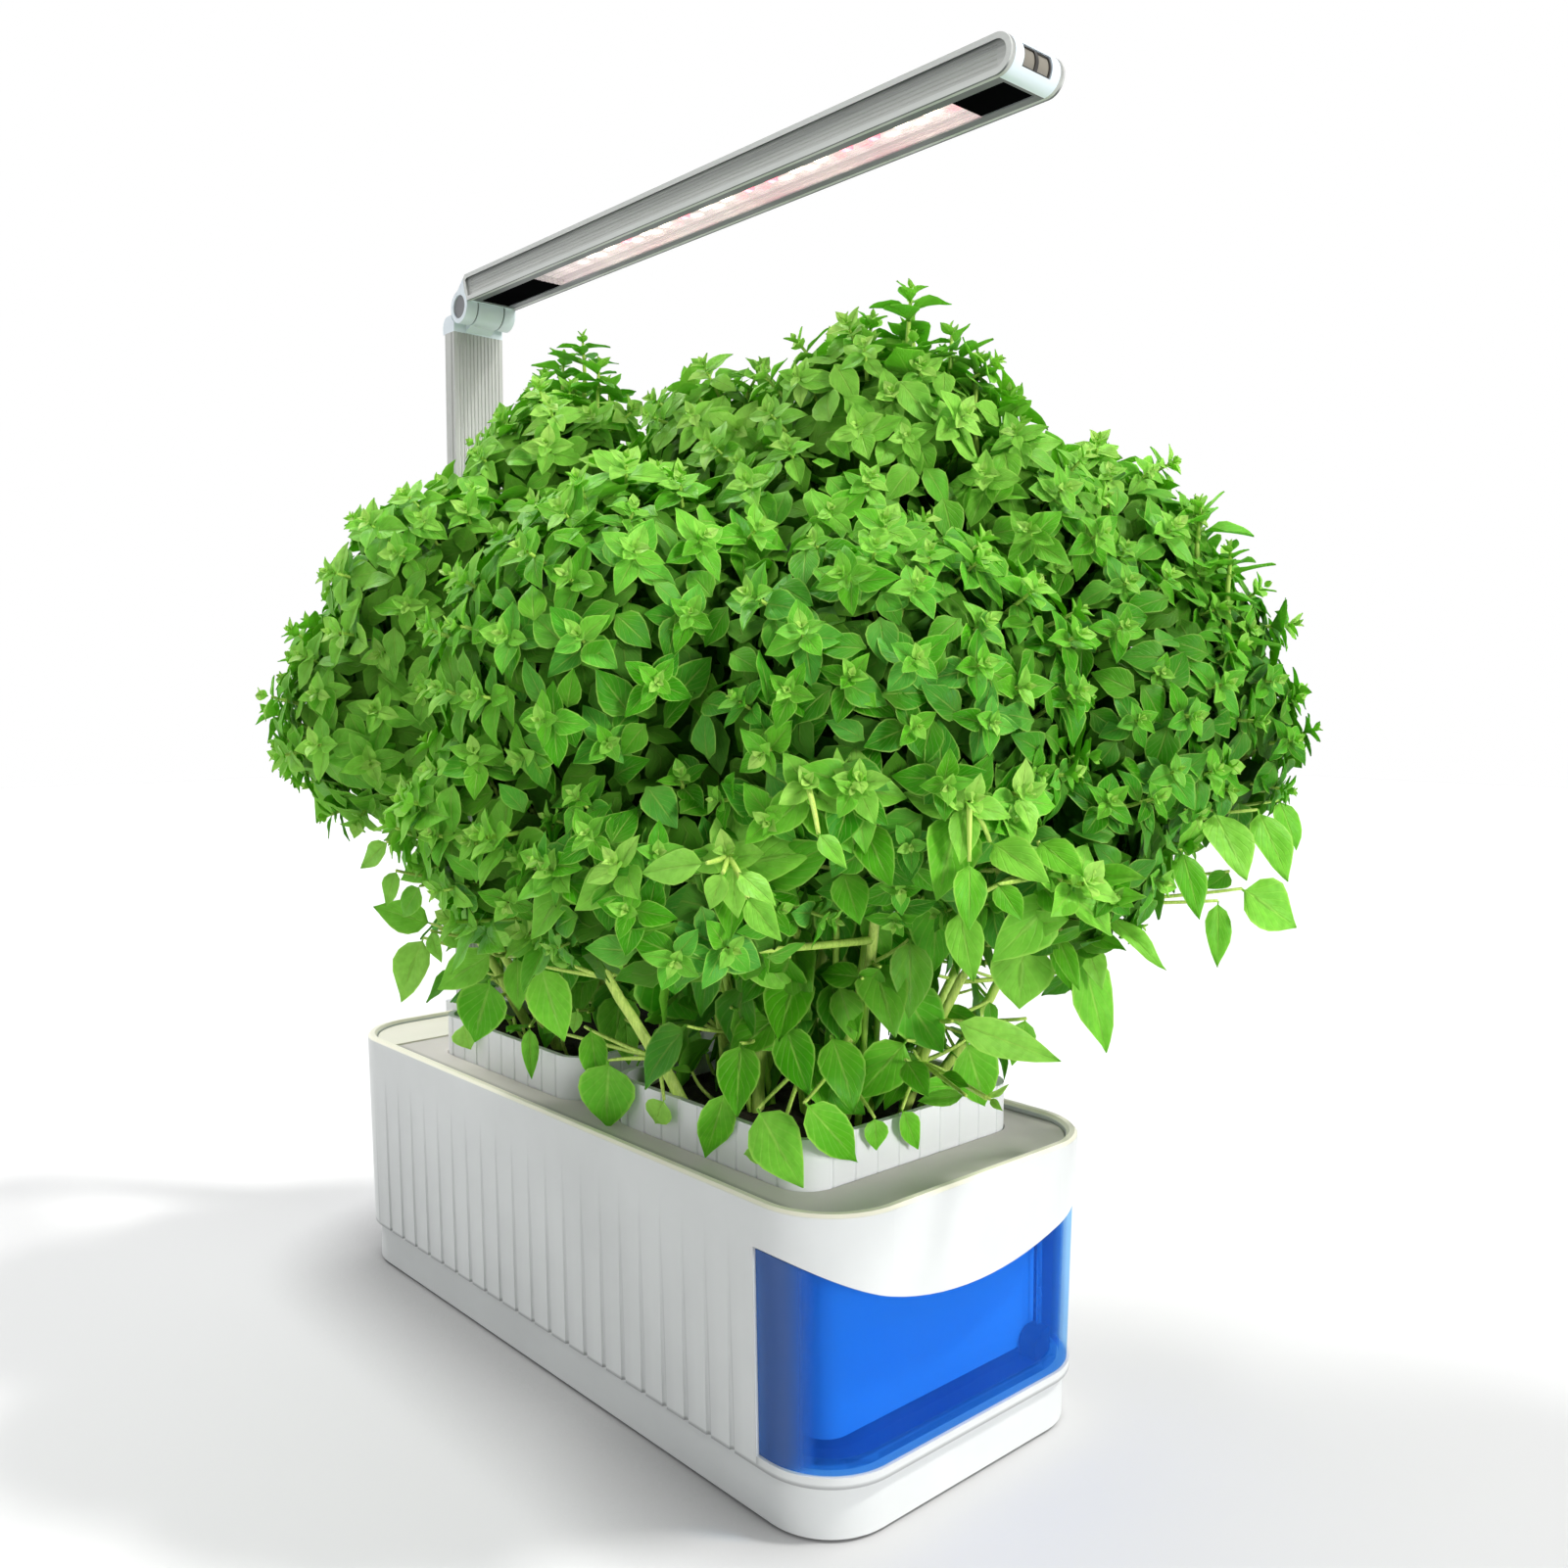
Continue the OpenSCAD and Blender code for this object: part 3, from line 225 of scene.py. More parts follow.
def deck_material():
    """Grey deck, with painted shade in the gap along the rim of the long sides."""
    m = moulded("deck_plastic", lin(214, 208, 202), 0.5, 0.08)
    pos, _ = m.where()
    # painted shade in the gap next to the rim on the long sides
    gap = m.span(m.math("ABSOLUTE", pos[1]), 0.0515, 0.0545, 0, 0.8)
    m.set(Base_Color=m.mix(gap, m.color(), lin(88, 86, 82)))
    return m


def channel_material():
    """Extruded channel, with painted shade on its underside."""
    m = metal("channel_aluminium", lin(158, 162, 164), 0.42, ALONG_X, 0.10, 0.35)
    _, nor = m.where()
    m.set(Base_Color=m.fade(nor[2], -0.5, -0.8, m.color(), UNDERSIDE_SHADE))
    return m


def trim_material():
    """Side trims: light rim with painted shade on its underside, and a darker recessed panel with a painted
    shadow line under its upper edge.
    """
    m = metal("trim_aluminium", lin(205, 207, 204), 0.4, ALONG_X, 0.06, 0.25)
    pos, nor = m.where()
    rim = m.fade(nor[2], -0.5, -0.8, m.color(), UNDERSIDE_SHADE)
    # painted shadow line under the upper edge of the panel
    panel = m.fade(pos[2], 0.3735, 0.3797, lin(186, 188, 184), lin(112, 114, 113))
    streaks = m.span(m.noise(700, 3, 0.6, (0.015, 1, 1)), 0.35, 0.65, 0, 0.35)
    panel = m.mix(streaks, panel, lin(205, 207, 203))
    m.set(Base_Color=m.fade(m.math("ABSOLUTE", pos[1]), 0.01025, 0.01015, rim, panel))
    return m


def window_material():
    """Clear blue plastic: mostly see-through, with some light scattered in it, and its ends painted navy as
    painted shade.
    """
    m = Mat("window_plastic", (0.008, 0.13, 0.95), 0.12, Specular_IOR_Level=0.5)
    _, nor = m.where()
    # painted shade: the ends are darker navy and less see-through
    end = m.span(m.math("ABSOLUTE", nor[1]), 0.80, 0.96)
    clouded = m.fade(m.noise(40, 3), 0.3, 0.7, (0.02, 0.20, 0.92), (0.03, 0.25, 1))
    m.set(Base_Color=m.mix(end, clouded, (0.03, 0.10, 0.34)), Normal=m.bump(m.noise(45, 2), 0.04, 0.0008))
    m.see_through((0.58, 0.82, 1), m.span(end, 0, 1, 0.12, 0.8))
    return m


def tank_material():
    """Blue tank behind the window."""
    m = Mat("tank_plastic", (0.01, 0.14, 0.95), 0.3)
    m.set(Base_Color=m.fade(m.noise(30, 3), 0.3, 0.7, (0.02, 0.18, 0.85), (0.03, 0.24, 1)),
          Roughness=m.span(m.noise(200, 2), 0.3, 0.7, 0.26, 0.36))
    m.see_through((0.70, 0.89, 1), 0.10)
    return m


def wick_material():
    """Twisted cotton."""
    m = Mat("wick_cotton", (0.70, 0.65, 0.54), 0.9, Sheen_Weight=0.3)
    twist = m.n("TexWave", m.place(), wave_type="BANDS", bands_direction="DIAGONAL", i_Scale=700,
                i_Distortion=3).outputs["Fac"]
    m.set(Base_Color=m.mix(twist, (0.5, 0.45, 0.36), (0.75, 0.7, 0.6)), Normal=m.bump(twist, 0.5, 0.0003))
    return m


PLAIN_PLASTICS = (  # name, colour, roughness, grain, nodes
    ("plinth_plastic", SHELL, 0.42, 0.05, "base_plinth lamp_socket"),
    ("liner_plastic", (0.86, 0.89, 0.92), 0.45, 0.05, "planter_liner"),
    ("cover_plastic", lin(247, 243, 226), 0.42, 0.06, "rear_bay_cover"),
    ("feet_rubber", (0.045, 0.045, 0.045), 0.75, 0.2, "rubber_feet"),
    ("black_plastic", (0.02, 0.022, 0.025), 0.4, 0.06, "board_components dc_jack friction_washers"),
    ("float_plastic", (0.006, 0.008, 0.012), 0.5, 0.1, "level_float"),
    ("cap_plastic", lin(120, 121, 124), 0.45, 0.06, "hinge_caps"),
    ("hinge_plastic", lin(222, 231, 238), 0.34, 0.04, "head_end_cap post_head"),
    ("window_frame", lin(60, 57, 54), 0.4, 0.05, "nose_window_frame"),
    ("tray_plastic", (0.84, 0.85, 0.86), 0.42, 0.05, "rear_tray front_tray"),
)
for *plastic, names in PLAIN_PLASTICS:
    dress(moulded(*plastic), names)
dress(shell_material(), "outer_shell")
dress(deck_material(), "planting_deck")
dress(moulded("nose_plastic", lin(232, 243, 252), 0.2, 0.02, Coat_Weight=0.3), "nose_cap")
dress(moulded("sensor_pane", lin(138, 133, 122), 0.15, 0.02, 0.14), "nose_window")
dress(moulded("board_resist", (0.02, 0.14, 0.06), 0.35, 0.1, 0.12), "control_board")
dress(moulded("mask_black", (0.0025, 0.0025, 0.003), 0.55, 0.05, 0.2, Specular_IOR_Level=0),
      "touch_mask nose_mask")
dress(metal("screw_steel", (0.62, 0.62, 0.63), 0.3, (1, 1, 1), scale=300),
      "plinth_screws float_guide_rod board_screws jack_nut socket_screws post_clamp_screw hinge_pin "
      "led_board_screws")
dress(metal("post_aluminium", lin(190, 191, 187), 0.42, ALONG_Z, 0.10, 0.35), "lamp_post")
dress(channel_material(), "head_channel")
dress(trim_material(), "near_side_trim far_side_trim")
dress(window_material(), "water_window")
dress(tank_material(), "water_tank")
dress(wick_material(), "rear_wicks front_wicks")

# -------------------- lamp optics

LED_PITCH = 10.8 * MM
RED_LEDS = (2, 5, 8, 9, 12, 13, 16)
FIRST_LED = min(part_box("white_leds")[0].x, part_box("red_leds")[0].x) + 1.75 * MM
OVAL_LENGTH, OVAL_WIDTH, OVAL_Y = 0.0034, 0.0022, -0.0030


def beside_led(m, x):
    """Distance along the lamp from the nearest diode."""
    return m.math("PINGPONG", m.math("SUBTRACT", x, FIRST_LED), LED_PITCH / 2)


def glowing(name, color, strength, rim):
    """A lit diode: its middle is hotter than its edge."""
    m = Mat(name, color, 0.3, Emission_Strength=strength)
    pos, _ = m.where()
    hot = m.fade(beside_led(m, pos[0]), 0.0018, 0.0003, rim, color)
    m.set(Emission_Color=hot, Base_Color=hot, Normal=m.bump(m.noise(1500, 2), 0.1, 0.0001))
    return m


def led_board_material():
    """White board, with a painted glow of each diode's light pooled round it."""
    m = moulded("led_board", (0.80, 0.78, 0.78), 0.4, 0.05, Emission_Strength=0.5)
    pos, _ = m.where()
    m.set(Emission_Color=m.fade(beside_led(m, pos[0]), 0.0038, 0.0016, (0.42, 0.36, 0.38), (0.9, 0.8, 0.8)))
    return m


def lens_material():
    """Ribbed lens with a painted glow, in which the light of each diode is painted as an oval."""
    m = Mat("lens_plastic", lin(238, 226, 226), 0.16, Emission_Strength=0.5)
    lines = m.noise(900, 2, 0.5, (0.01, 1, 1))
    pos, _ = m.where()
    pink = m.fade(m.noise(55, 1), 0.35, 0.65, (1, 0.74, 0.78), (1, 0.95, 0.95))
    # painted glow across the lens, lighter towards +y
    lit = m.fade(pos[1], -0.006, 0.006, (0.62, 0.58, 0.60), pink)
    # a painted oval of light round each diode, red over the red ones
    u = m.math("DIVIDE", beside_led(m, pos[0]), OVAL_LENGTH)
    v = m.math("DIVIDE", m.math("ADD", pos[1], -OVAL_Y), OVAL_WIDTH)
    oval = m.span(m.math("ADD", m.mul(u, u), m.mul(v, v)), 1, 0.2)
    oval = m.mul(oval, m.span(pos[0], FIRST_LED - 0.0046, FIRST_LED - 0.0040))
    red = 0
    for i in RED_LEDS:
        off = m.math("ABSOLUTE", m.math("SUBTRACT", pos[0], FIRST_LED + i * LED_PITCH))
        red = m.math("MAXIMUM", red, m.span(off, 0.0052, 0.0046))
    m.set(Base_Color=m.fade(lines, 0.35, 0.65, lin(226, 214, 216), lin(246, 238, 238)),
          Emission_Color=m.mix(oval, lit, m.mix(red, (3.4, 3.3, 2.9), (3.6, 0.02, 0.35))))
    m.see_through((0.98, 0.95, 0.95), 0.30)
    return m


dress(glowing("diode_white", (1, 0.98, 0.9), 6, (1, 0.90, 0.62)), "white_leds")
dress(glowing("diode_red", (1, 0.36, 0.45), 3.4, (1, 0.03, 0.12)), "red_leds")
dress(led_board_material(), "led_board")
dress(lens_material(), "lamp_lens")

# -------------------- mesh building


def make_mesh(name, verts, faces, uvs=None, tone=None):
    """Object from arrays: verts (n,3) in metres, faces (k,4), uvs {name: per corner}, tone (n,3)."""
    me = bpy.data.meshes.new(name)
    verts = np.asarray(verts, np.float32)
    faces = np.asarray(faces, np.int32)
    me.vertices.add(len(verts))
    me.vertices.foreach_set("co", verts.ravel())
    me.loops.add(faces.size)
    me.loops.foreach_set("vertex_index", faces.ravel())
    me.polygons.add(len(faces))
    me.polygons.foreach_set("loop_start", np.arange(len(faces), dtype=np.int32) * faces.shape[1])
    me.update(calc_edges=True)
    me.polygons.foreach_set("use_smooth", np.ones(len(faces), bool))
    for k, uv in (uvs or {}).items():
        layer = me.uv_layers.new(name=k, do_init=False)
        layer.uv.foreach_set("vector", np.asarray(uv, np.float32).ravel())
    if tone is not None:
        a = me.attributes.new("tone", "FLOAT_COLOR", "POINT")
        rgba = np.concatenate([tone, np.ones((len(tone), 1))], 1).astype(np.float32)
        a.data.foreach_set("color", rgba.ravel())
    me.validate()
    ob = bpy.data.objects.new(name, me)
    bpy.context.scene.collection.objects.link(ob)
    return ob


def unit(v):
    return v / np.maximum(np.linalg.norm(v, axis=-1, keepdims=True), 1e-9)


def level(ang):
    """Level direction at an angle round the vertical."""
    return np.array([math.cos(ang), math.sin(ang), 0])


def grid_corners(rows, cols, first=0):
    """Number of the first corner of each face of a grid of points."""
    return [first + r * cols + c for r in range(rows - 1) for c in range(cols - 1)]


# rows of points along the leaves of the shoots, of the inner ones and of the large low ones
SHOOT_ROWS = np.array([0.0, 0.08, 0.20, 0.36, 0.54, 0.72, 0.87, 1.0])
INNER_ROWS = np.array([0.0, 0.14, 0.45, 0.78, 1.0])
LARGE_ROWS = np.array([0, 0.06, 0.16, 0.30, 0.46, 0.62, 0.78, 0.91, 1.0])
LEAF_THICK = 0.28 * MM


def half_width(x):
    """Outline of an ovate leaf: short stalk, widest before the middle, drawn to a point."""
    blade = np.clip((x - 0.06) / 0.94, 0, 1)
    w = 2.98 * blade**0.62 * (1 - blade) ** 1.10
    return np.maximum(w, np.where(x < 0.2, 0.05, 0.015))


class Leaves:
    """Many leaves as one mesh. Each leaf has an upper and a lower skin that meet at its edge."""

    def __init__(self, rows=SHOOT_ROWS, cols=5):
        self.rows, self.cols = rows, cols
        self.list = []

    def add(self, base, direction, normal, length, width, curl, droop, age, rnd, deep):
        """One leaf: base, length and width in mm, the last five are numbers of about 0 to 1."""
        size = length * MM, width * MM
        self.list.append((*(base * MM), *direction, *normal, *size, curl, droop, age, rnd, deep))

    def arrays(self):
        return np.array(self.list, float).reshape(-1, 16)

    def build(self, name):
        a = self.arrays()
        x, nr, nc, n = self.rows, len(self.rows), self.cols, len(a)
        base, d, nn = a[:, 0:3], unit(a[:, 3:6]), a[:, 6:9]
        nn = unit(nn - (nn * d).sum(1, keepdims=True) * d)
        s = np.cross(nn, d)
        length, width, curl, droop = (a[:, k][:, None, None] for k in (9, 10, 11, 12))
        rnd = a[:, 14][:, None, None]
        X = x[None, :, None] * np.ones((n, nr, nc))
        W = half_width(x)[None, :, None] * width * 0.5

        def skin(cols, lift):
            y = cols[None, None, :] * W
            at = X[:, :, : len(cols)]
            bend = droop * (at**2) * length
            cup = curl * np.abs(y) ** 1.3 / np.maximum(width * 0.5, 1e-6) ** 0.3
            puff = 0.035 * length * (1 - np.abs(2 * np.abs(cols) - 1))[None, None, :] * (W / (width * 0.5))
            wave = 0.03 * length * np.sin(9 * at + 25 * rnd) * np.abs(cols)[None, None, :]
            z = -bend + cup + wave + lift(puff, cols)
            xx = at * length * (1 - 0.12 * droop)
            return (base[:, None, None] + xx[..., None] * d[:, None, None]
                    + y[..., None] * s[:, None, None] + z[..., None] * nn[:, None, None])

        across = np.linspace(-1, 1, nc)
        low_cols = np.linspace(-1, 1, (nc + 1) // 2)
        nl = len(low_cols)
        top = skin(across, lambda puff, c: puff)
        low = skin(low_cols, lambda _, c: -LEAF_THICK * (1 - np.abs(c)) * np.ones((n, nr, 1)))
        verts = np.concatenate([top.reshape(n, -1, 3), low.reshape(n, -1, 3)], 1)
        quads = [(i, i + nc, i + nc + 1, i + 1) for i in grid_corners(nr, nc)]
        quads += [(i, i + 1, i + nl + 1, i + nl) for i in grid_corners(nr, nl, nr * nc)]
        quads = np.array(quads)
        per = verts.shape[1]
        faces = (quads[None] + (np.arange(n) * per)[:, None, None]).reshape(-1, 4)
        # leaf-local map: u across, v along; the lower skin is two to the right
        ut = np.concatenate([np.tile((across + 1) / 2, nr), np.tile((low_cols + 1) / 2 + 2, nr)])
        vt = np.concatenate([np.repeat(x, nc), np.repeat(x, nl)])
        local = np.tile(np.stack([ut, vt], 1)[quads].reshape(-1, 2), (n, 1))
        # the map for the bake: a square cell for each leaf, with both skins side by side
        g = math.ceil(math.sqrt(n))
        cell = np.stack([np.arange(n) % g, np.arange(n) // g], 1)
        ua = np.where(ut > 1.5, 0.66 + (ut - 2) * 0.28, 0.05 + ut * 0.53)
        atlas = np.stack([ua, 0.06 + 0.88 * vt], 1)[quads].reshape(1, -1, 2)
        atlas = ((cell[:, None] + atlas) / g).reshape(-1, 2)
        tone = np.repeat(a[:, 13:16], per, 0)
        return make_mesh(name, verts.reshape(-1, 3), faces, {"Leaf": local, "OFBake": atlas}, tone)


class Tubes:
    """Stems as one mesh of tapering tubes."""

    def __init__(self):
        self.v, self.f, self.t = [], [], []

    def add(self, pts, r0, r1, tone, k):
        """A tube through points with k sides, from radius r0 to r1, all in mm."""
        pts = np.asarray(pts, float) * MM
        n = len(pts)
        tan = unit(np.gradient(pts, axis=0))
        ref = UP if abs(tan[0][2]) < 0.9 else np.array([1.0, 0, 0])
        a = unit(np.cross(tan, ref))
        b = np.cross(tan, a)
        ang = np.arange(k) * 2 * math.pi / k
        rad = np.linspace(r0 * MM, r1 * MM, n)
        turn = np.cos(ang)[None, :, None] * a[:, None] + np.sin(ang)[None, :, None] * b[:, None]
        ring = pts[:, None] + rad[:, None, None] * turn
        start = sum(len(x) for x in self.v)
        self.v.append(ring.reshape(-1, 3))
        i = np.arange(n - 1)[:, None] * k
        j = np.arange(k)[None]
        q = np.stack([i + j, i + k + j, i + k + (j + 1) % k, i + (j + 1) % k], -1).reshape(-1, 4)
        self.f.append(q + start)
        if k == 6:
            # two faces close each end
            e = start + (n - 1) * k
            self.f.append(np.array([[e, e + 3, e + 2, e + 1], [e, e + 5, e + 4, e + 3]]))
            self.f.append(np.array([[0, 1, 2, 3], [0, 3, 4, 5]]) + start)
        self.t.append(np.tile(np.array(tone, float), (n * k, 1)))

    def build(self, name):
        return make_mesh(name, np.concatenate(self.v), np.concatenate(self.f), None, np.concatenate(self.t))


# -------------------- basil

FRONT_LOBES = [
    (75, 0, 235, 74), (125, 42, 215, 60), (139, 82, 206, 43), (80, 75, 238, 62),
    (62, -58, 225, 62), (118, -28, 212, 62), (86, 2, 285, 42), (119, 62, 252, 47),
    (48, -84, 186, 42), (92, -70, 172, 44), (143, 14, 179, 41), (74, 112, 208, 42),
    (46, -12, 282, 40), (124, 22, 260, 36), (143, 70, 230, 38), (106, 4, 290, 30),
]
REAR_LOBES = [
    (-42, 0, 235, 64), (-56, -56, 222, 54), (-38, -84, 212, 42), (-62, -72, 212, 42),
    (-18, -32, 283, 40), (-38, 48, 238, 54), (-72, 38, 222, 38), (-24, -58, 240, 56),
    (-12, 30, 278, 38), (-34, -24, 296, 32),
]
SQUASH = 0.92  # the lobes are a little flatter than round
MEET_X = 11.6
FOOT_Z = 92  # stems start in the soil
TRAY_X = {"rear": -43.0, "front": 66.2}
NEAR_CORNER = np.array([0.72, -0.69, 0.0])  # from the middle of the garden to its near front corner
CROWN_TOP, POST_FRONT, POST_SIDE = 345, -118, 24  # room under the lamp head and round its post
GOLDEN_ANGLE = 2.39996


def meet(y):
    """Where the two trays' crowns meet, as x in mm, at each y."""
    return MEET_X + 3.5 * np.sin(y / 11.0) + 2.0 * np.sin(y / 4.3 + 1.0)


def in_lobes(lobes, p):
    """How deep points lie in the union of lobes, in mm (negative outside), and the way out of it."""
    depth = np.full(len(p), -1e9)
    out = np.zeros((len(p), 3))
    for x, y, z, r in lobes:
        q = p - np.array([x, y, z])
        q[:, 2] = q[:, 2] / SQUASH
        d = r - np.linalg.norm(q, axis=1)
        out[d > depth] = q[d > depth]
        depth = np.maximum(d, depth)
    return depth, unit(out)


def on_skin(lobes, inset, spacing, rng, wall):
    """Points spread over the crown at a depth under its skin, no closer than spacing."""
    pts = []
    for x, y, z, r in lobes:
        rr = r - inset
        if rr < 6:
            continue
        n = int(4 * math.pi * rr * rr / (spacing * spacing) * 3.2)
        v = unit(rng.normal(size=(n, 3)))
        pts.append(np.array([x, y, z]) + v * rr * np.array([1, 1, SQUASH]))
    p = np.concatenate(pts)
    p = p[np.abs(in_lobes(lobes, p)[0] - inset) < 0.6]
    p = p[wall(p)]
    rng.shuffle(p)
    cells = {}
    for q in p:
        a, b, c = (q // spacing).astype(int)
        near = [o for i, j, k in np.ndindex(3, 3, 3)
                for o in cells.get((a + i - 1, b + j - 1, c + k - 1), ())]
        if not near or np.min(np.linalg.norm(np.array(near) - q, axis=1)) >= spacing:
            cells.setdefault((a, b, c), []).append(q)
    return np.array([q for c in cells.values() for q in c])


def rosette(leaves, at, axis, size, rng, pairs=4, younger_and_sunlit=0.5, shade=0.0):
    """A shoot tip: pairs of leaves, each pair turned a quarter round from the last."""
    ref = np.array([0.3, 0.2, 1.0]) if abs(axis[2]) < 0.85 else np.array([1.0, 0.1, 0])
    a = unit(np.cross(axis, ref))
    b = np.cross(axis, a)
    phi = rng.uniform(0, math.pi)
    tone = rng.uniform(0, 1)
    for k in range(pairs):
        t = k / max(1, pairs - 1)
        lift = (-6.0 + 7.5 * t**0.8) * size
        length = (9.4 * (1 - t**1.15) + 2.5) * size
        lean = math.radians(88 - 62 * t**1.5)
        for side in (0, math.pi):
            ang = phi + k * math.pi / 2 + side + rng.normal(0, 0.14)
            radial = math.cos(ang) * a + math.sin(ang) * b
            tilt = lean + rng.normal(0, 0.14)
            direction = math.cos(tilt) * axis + math.sin(tilt) * radial
            normal = math.sin(tilt) * axis - math.cos(tilt) * radial
            s = length * rng.uniform(0.86, 1.12)
            width = s * rng.uniform(0.58, 0.74)
            # each pair: the lower ones carry painted shade, the inner ones are younger, and all are paler
            # where painted light is passed in
            leaves.add(
                at + axis * lift, direction, normal, s, width,
                curl=rng.uniform(0.16, 0.50), droop=rng.uniform(0.02, 0.34) * (1 - 0.5 * t),
                age=np.clip((1 - younger_and_sunlit) * (1 - 1.05 * t**1.3) + rng.normal(0, 0.07), 0, 1),
                rnd=np.clip(tone + rng.normal(0, 0.2), 0, 1), deep=shade * (1 - t),
            )


def fit_to_room(leaves, tray):
    """Moves whole leaves back over the line where the crowns meet, and off the post and the lamp."""
    a = leaves.arrays()
    d = unit(a[:, 3:6])
    base, length, width = a[:, 0:3] / MM, a[:, 9] / MM, a[:, 10] / MM
    s = unit(np.cross(a[:, 6:9], d))
    keep = np.ones(len(a), bool)
    back = 1 if tray == "rear" else -1
    # the foot, the tip and four points of the edge of each leaf
    for u, w in ((0, 0), (0.35, 0.62), (0.35, -0.62), (0.6, 0.6), (0.6, -0.6), (1.0, 0)):
        p = base + d * (length * u)[:, None] + s * (width * w)[:, None]
        over = np.maximum(back * (p[:, 0] - meet(p[:, 1])) + 1.6, 0)
        base[:, 0] -= over * back
        keep &= over < 9
    tip = base + d * length[:, None]
    low = np.minimum(base[:, 0], tip[:, 0])
    mid_y = np.abs((base[:, 1] + tip[:, 1]) / 2)
    keep &= ~((low < POST_FRONT) & (mid_y < POST_SIDE))
    keep &= np.maximum(base[:, 2], tip[:, 2]) < CROWN_TOP
    a[:, 0:3] = base * MM
    leaves.list = [tuple(r) for r in a[keep]]


def toward(p, tray):
    """How much points face the near front corner from the middle of their tray: -1 to 1."""
    q = np.atleast_2d(p)[:, :2] - [TRAY_X[tray], 0]
    return unit(q) @ NEAR_CORNER[:2]


def grow(tray, lobes, seed):
    """The shoots and the inner leaves of one tray."""
    rng = np.random.default_rng(seed)
    outer, inner, tubes = Leaves(), Leaves(INNER_ROWS, 3), Tubes()

    def rightward(p):
        """How far to the right a point lies in the picture, in mm."""
        return 0.67 * p[0] + 0.74 * p[1]

    def painted_light(p):
        """How much painted light the foliage gets, as a younger, paler colour: at the top, and on the rear
        near side.
        """
        return max(0.75 * np.clip((p[2] - 215) / 80, 0, 1), 0.62 * np.clip((10 - rightward(p)) / 80, 0, 1))

    def painted_shade(p):
        """How much painted shade the foliage gets, as a darker colour: on the far front side, below the
        top.
        """
        return np.clip((rightward(p) - 40) / 90, 0, 1) * np.clip((290 - p[2]) / 60, 0, 1)

    def room(p):
        """Keeps to the tray's own side. The underside thins out, most of all at the near corner."""
        side = p[:, 0] < meet(p[:, 1]) - 3 if tray == "rear" else p[:, 0] > meet(p[:, 1]) + 3
        foot = 126 + 24 * np.clip(toward(p, tray), 0, 1)
        return side & (rng.uniform(size=len(p)) < (p[:, 2] - foot) / 40)

    tips = on_skin(lobes, 3.5, 12.4, rng, room)
    for p, n in zip(tips, in_lobes(lobes, tips)[1]):
        if n[2] < -0.6 and rng.uniform() < 0.5:
            continue
        flat = unit(np.array([n[0], n[1], 0.0]) + 1e-6)
        axis = unit(n * 0.8 + flat * 0.55 + UP * 0.22 + rng.normal(0, 0.20, 3))
        p = p + n * rng.uniform(-4.0, 2.5)
        size = rng.uniform(0.74, 1.16)
        rosette(outer, p, axis, size, rng, pairs=5 if rng.uniform() < 0.5 else 6, younger_and_sunlit=painted_light(p),
                shade=0.22 * painted_shade(p))
        root = p - axis * 24 * size - n * 8 - UP * 6
        tubes.add([root, p - axis * 12 * size, p - axis], 0.75, 0.45, (0.6, rng.uniform(), 0), 4)
    # single leaves between the shoots, then older ones further in, darker with painted shade
    for layer, inset, gap, small, large, deep in (
        (outer, 7, 8.2, 9, 14, 0.25), (inner, 11, 7, 10, 16, 0.6), (inner, 16, 7.5, 12, 18, 0.9),
        (inner, 24, 9, 16, 24, 1.0), (inner, 36, 12, 20, 28, 1.0),
    ):
        at = on_skin(lobes, inset, gap, rng, room)
        for p, n in zip(at, in_lobes(lobes, at)[1]):
            across = unit(np.cross(n, rng.normal(size=3)))
            face = unit(n + UP * 0.25 + rng.normal(0, 0.30, 3))
            d = unit(across + 0.12 * n - UP * 0.45)
            s = rng.uniform(small, large)
            layer.add(p - d * s * 0.45, d, face, s, s * rng.uniform(0.62, 0.76),
                      curl=rng.uniform(0.05, 0.3), droop=rng.uniform(0.05, 0.35),
                      age=rng.uniform(0.62, 1.0) * (1 - 0.8 * painted_light(p)), rnd=rng.uniform(),
                      deep=np.clip(deep * (1 - 0.6 * painted_light(p)) + 0.15 * painted_shade(p), 0, 1))
    return outer, inner, tubes, rng


def tone_of(m):
    """Age, a random number and depth of shade, as the mesh brings them along."""
    return m.n("SeparateColor", m.n("Attribute", attribute_name="tone").outputs["Color"]).outputs


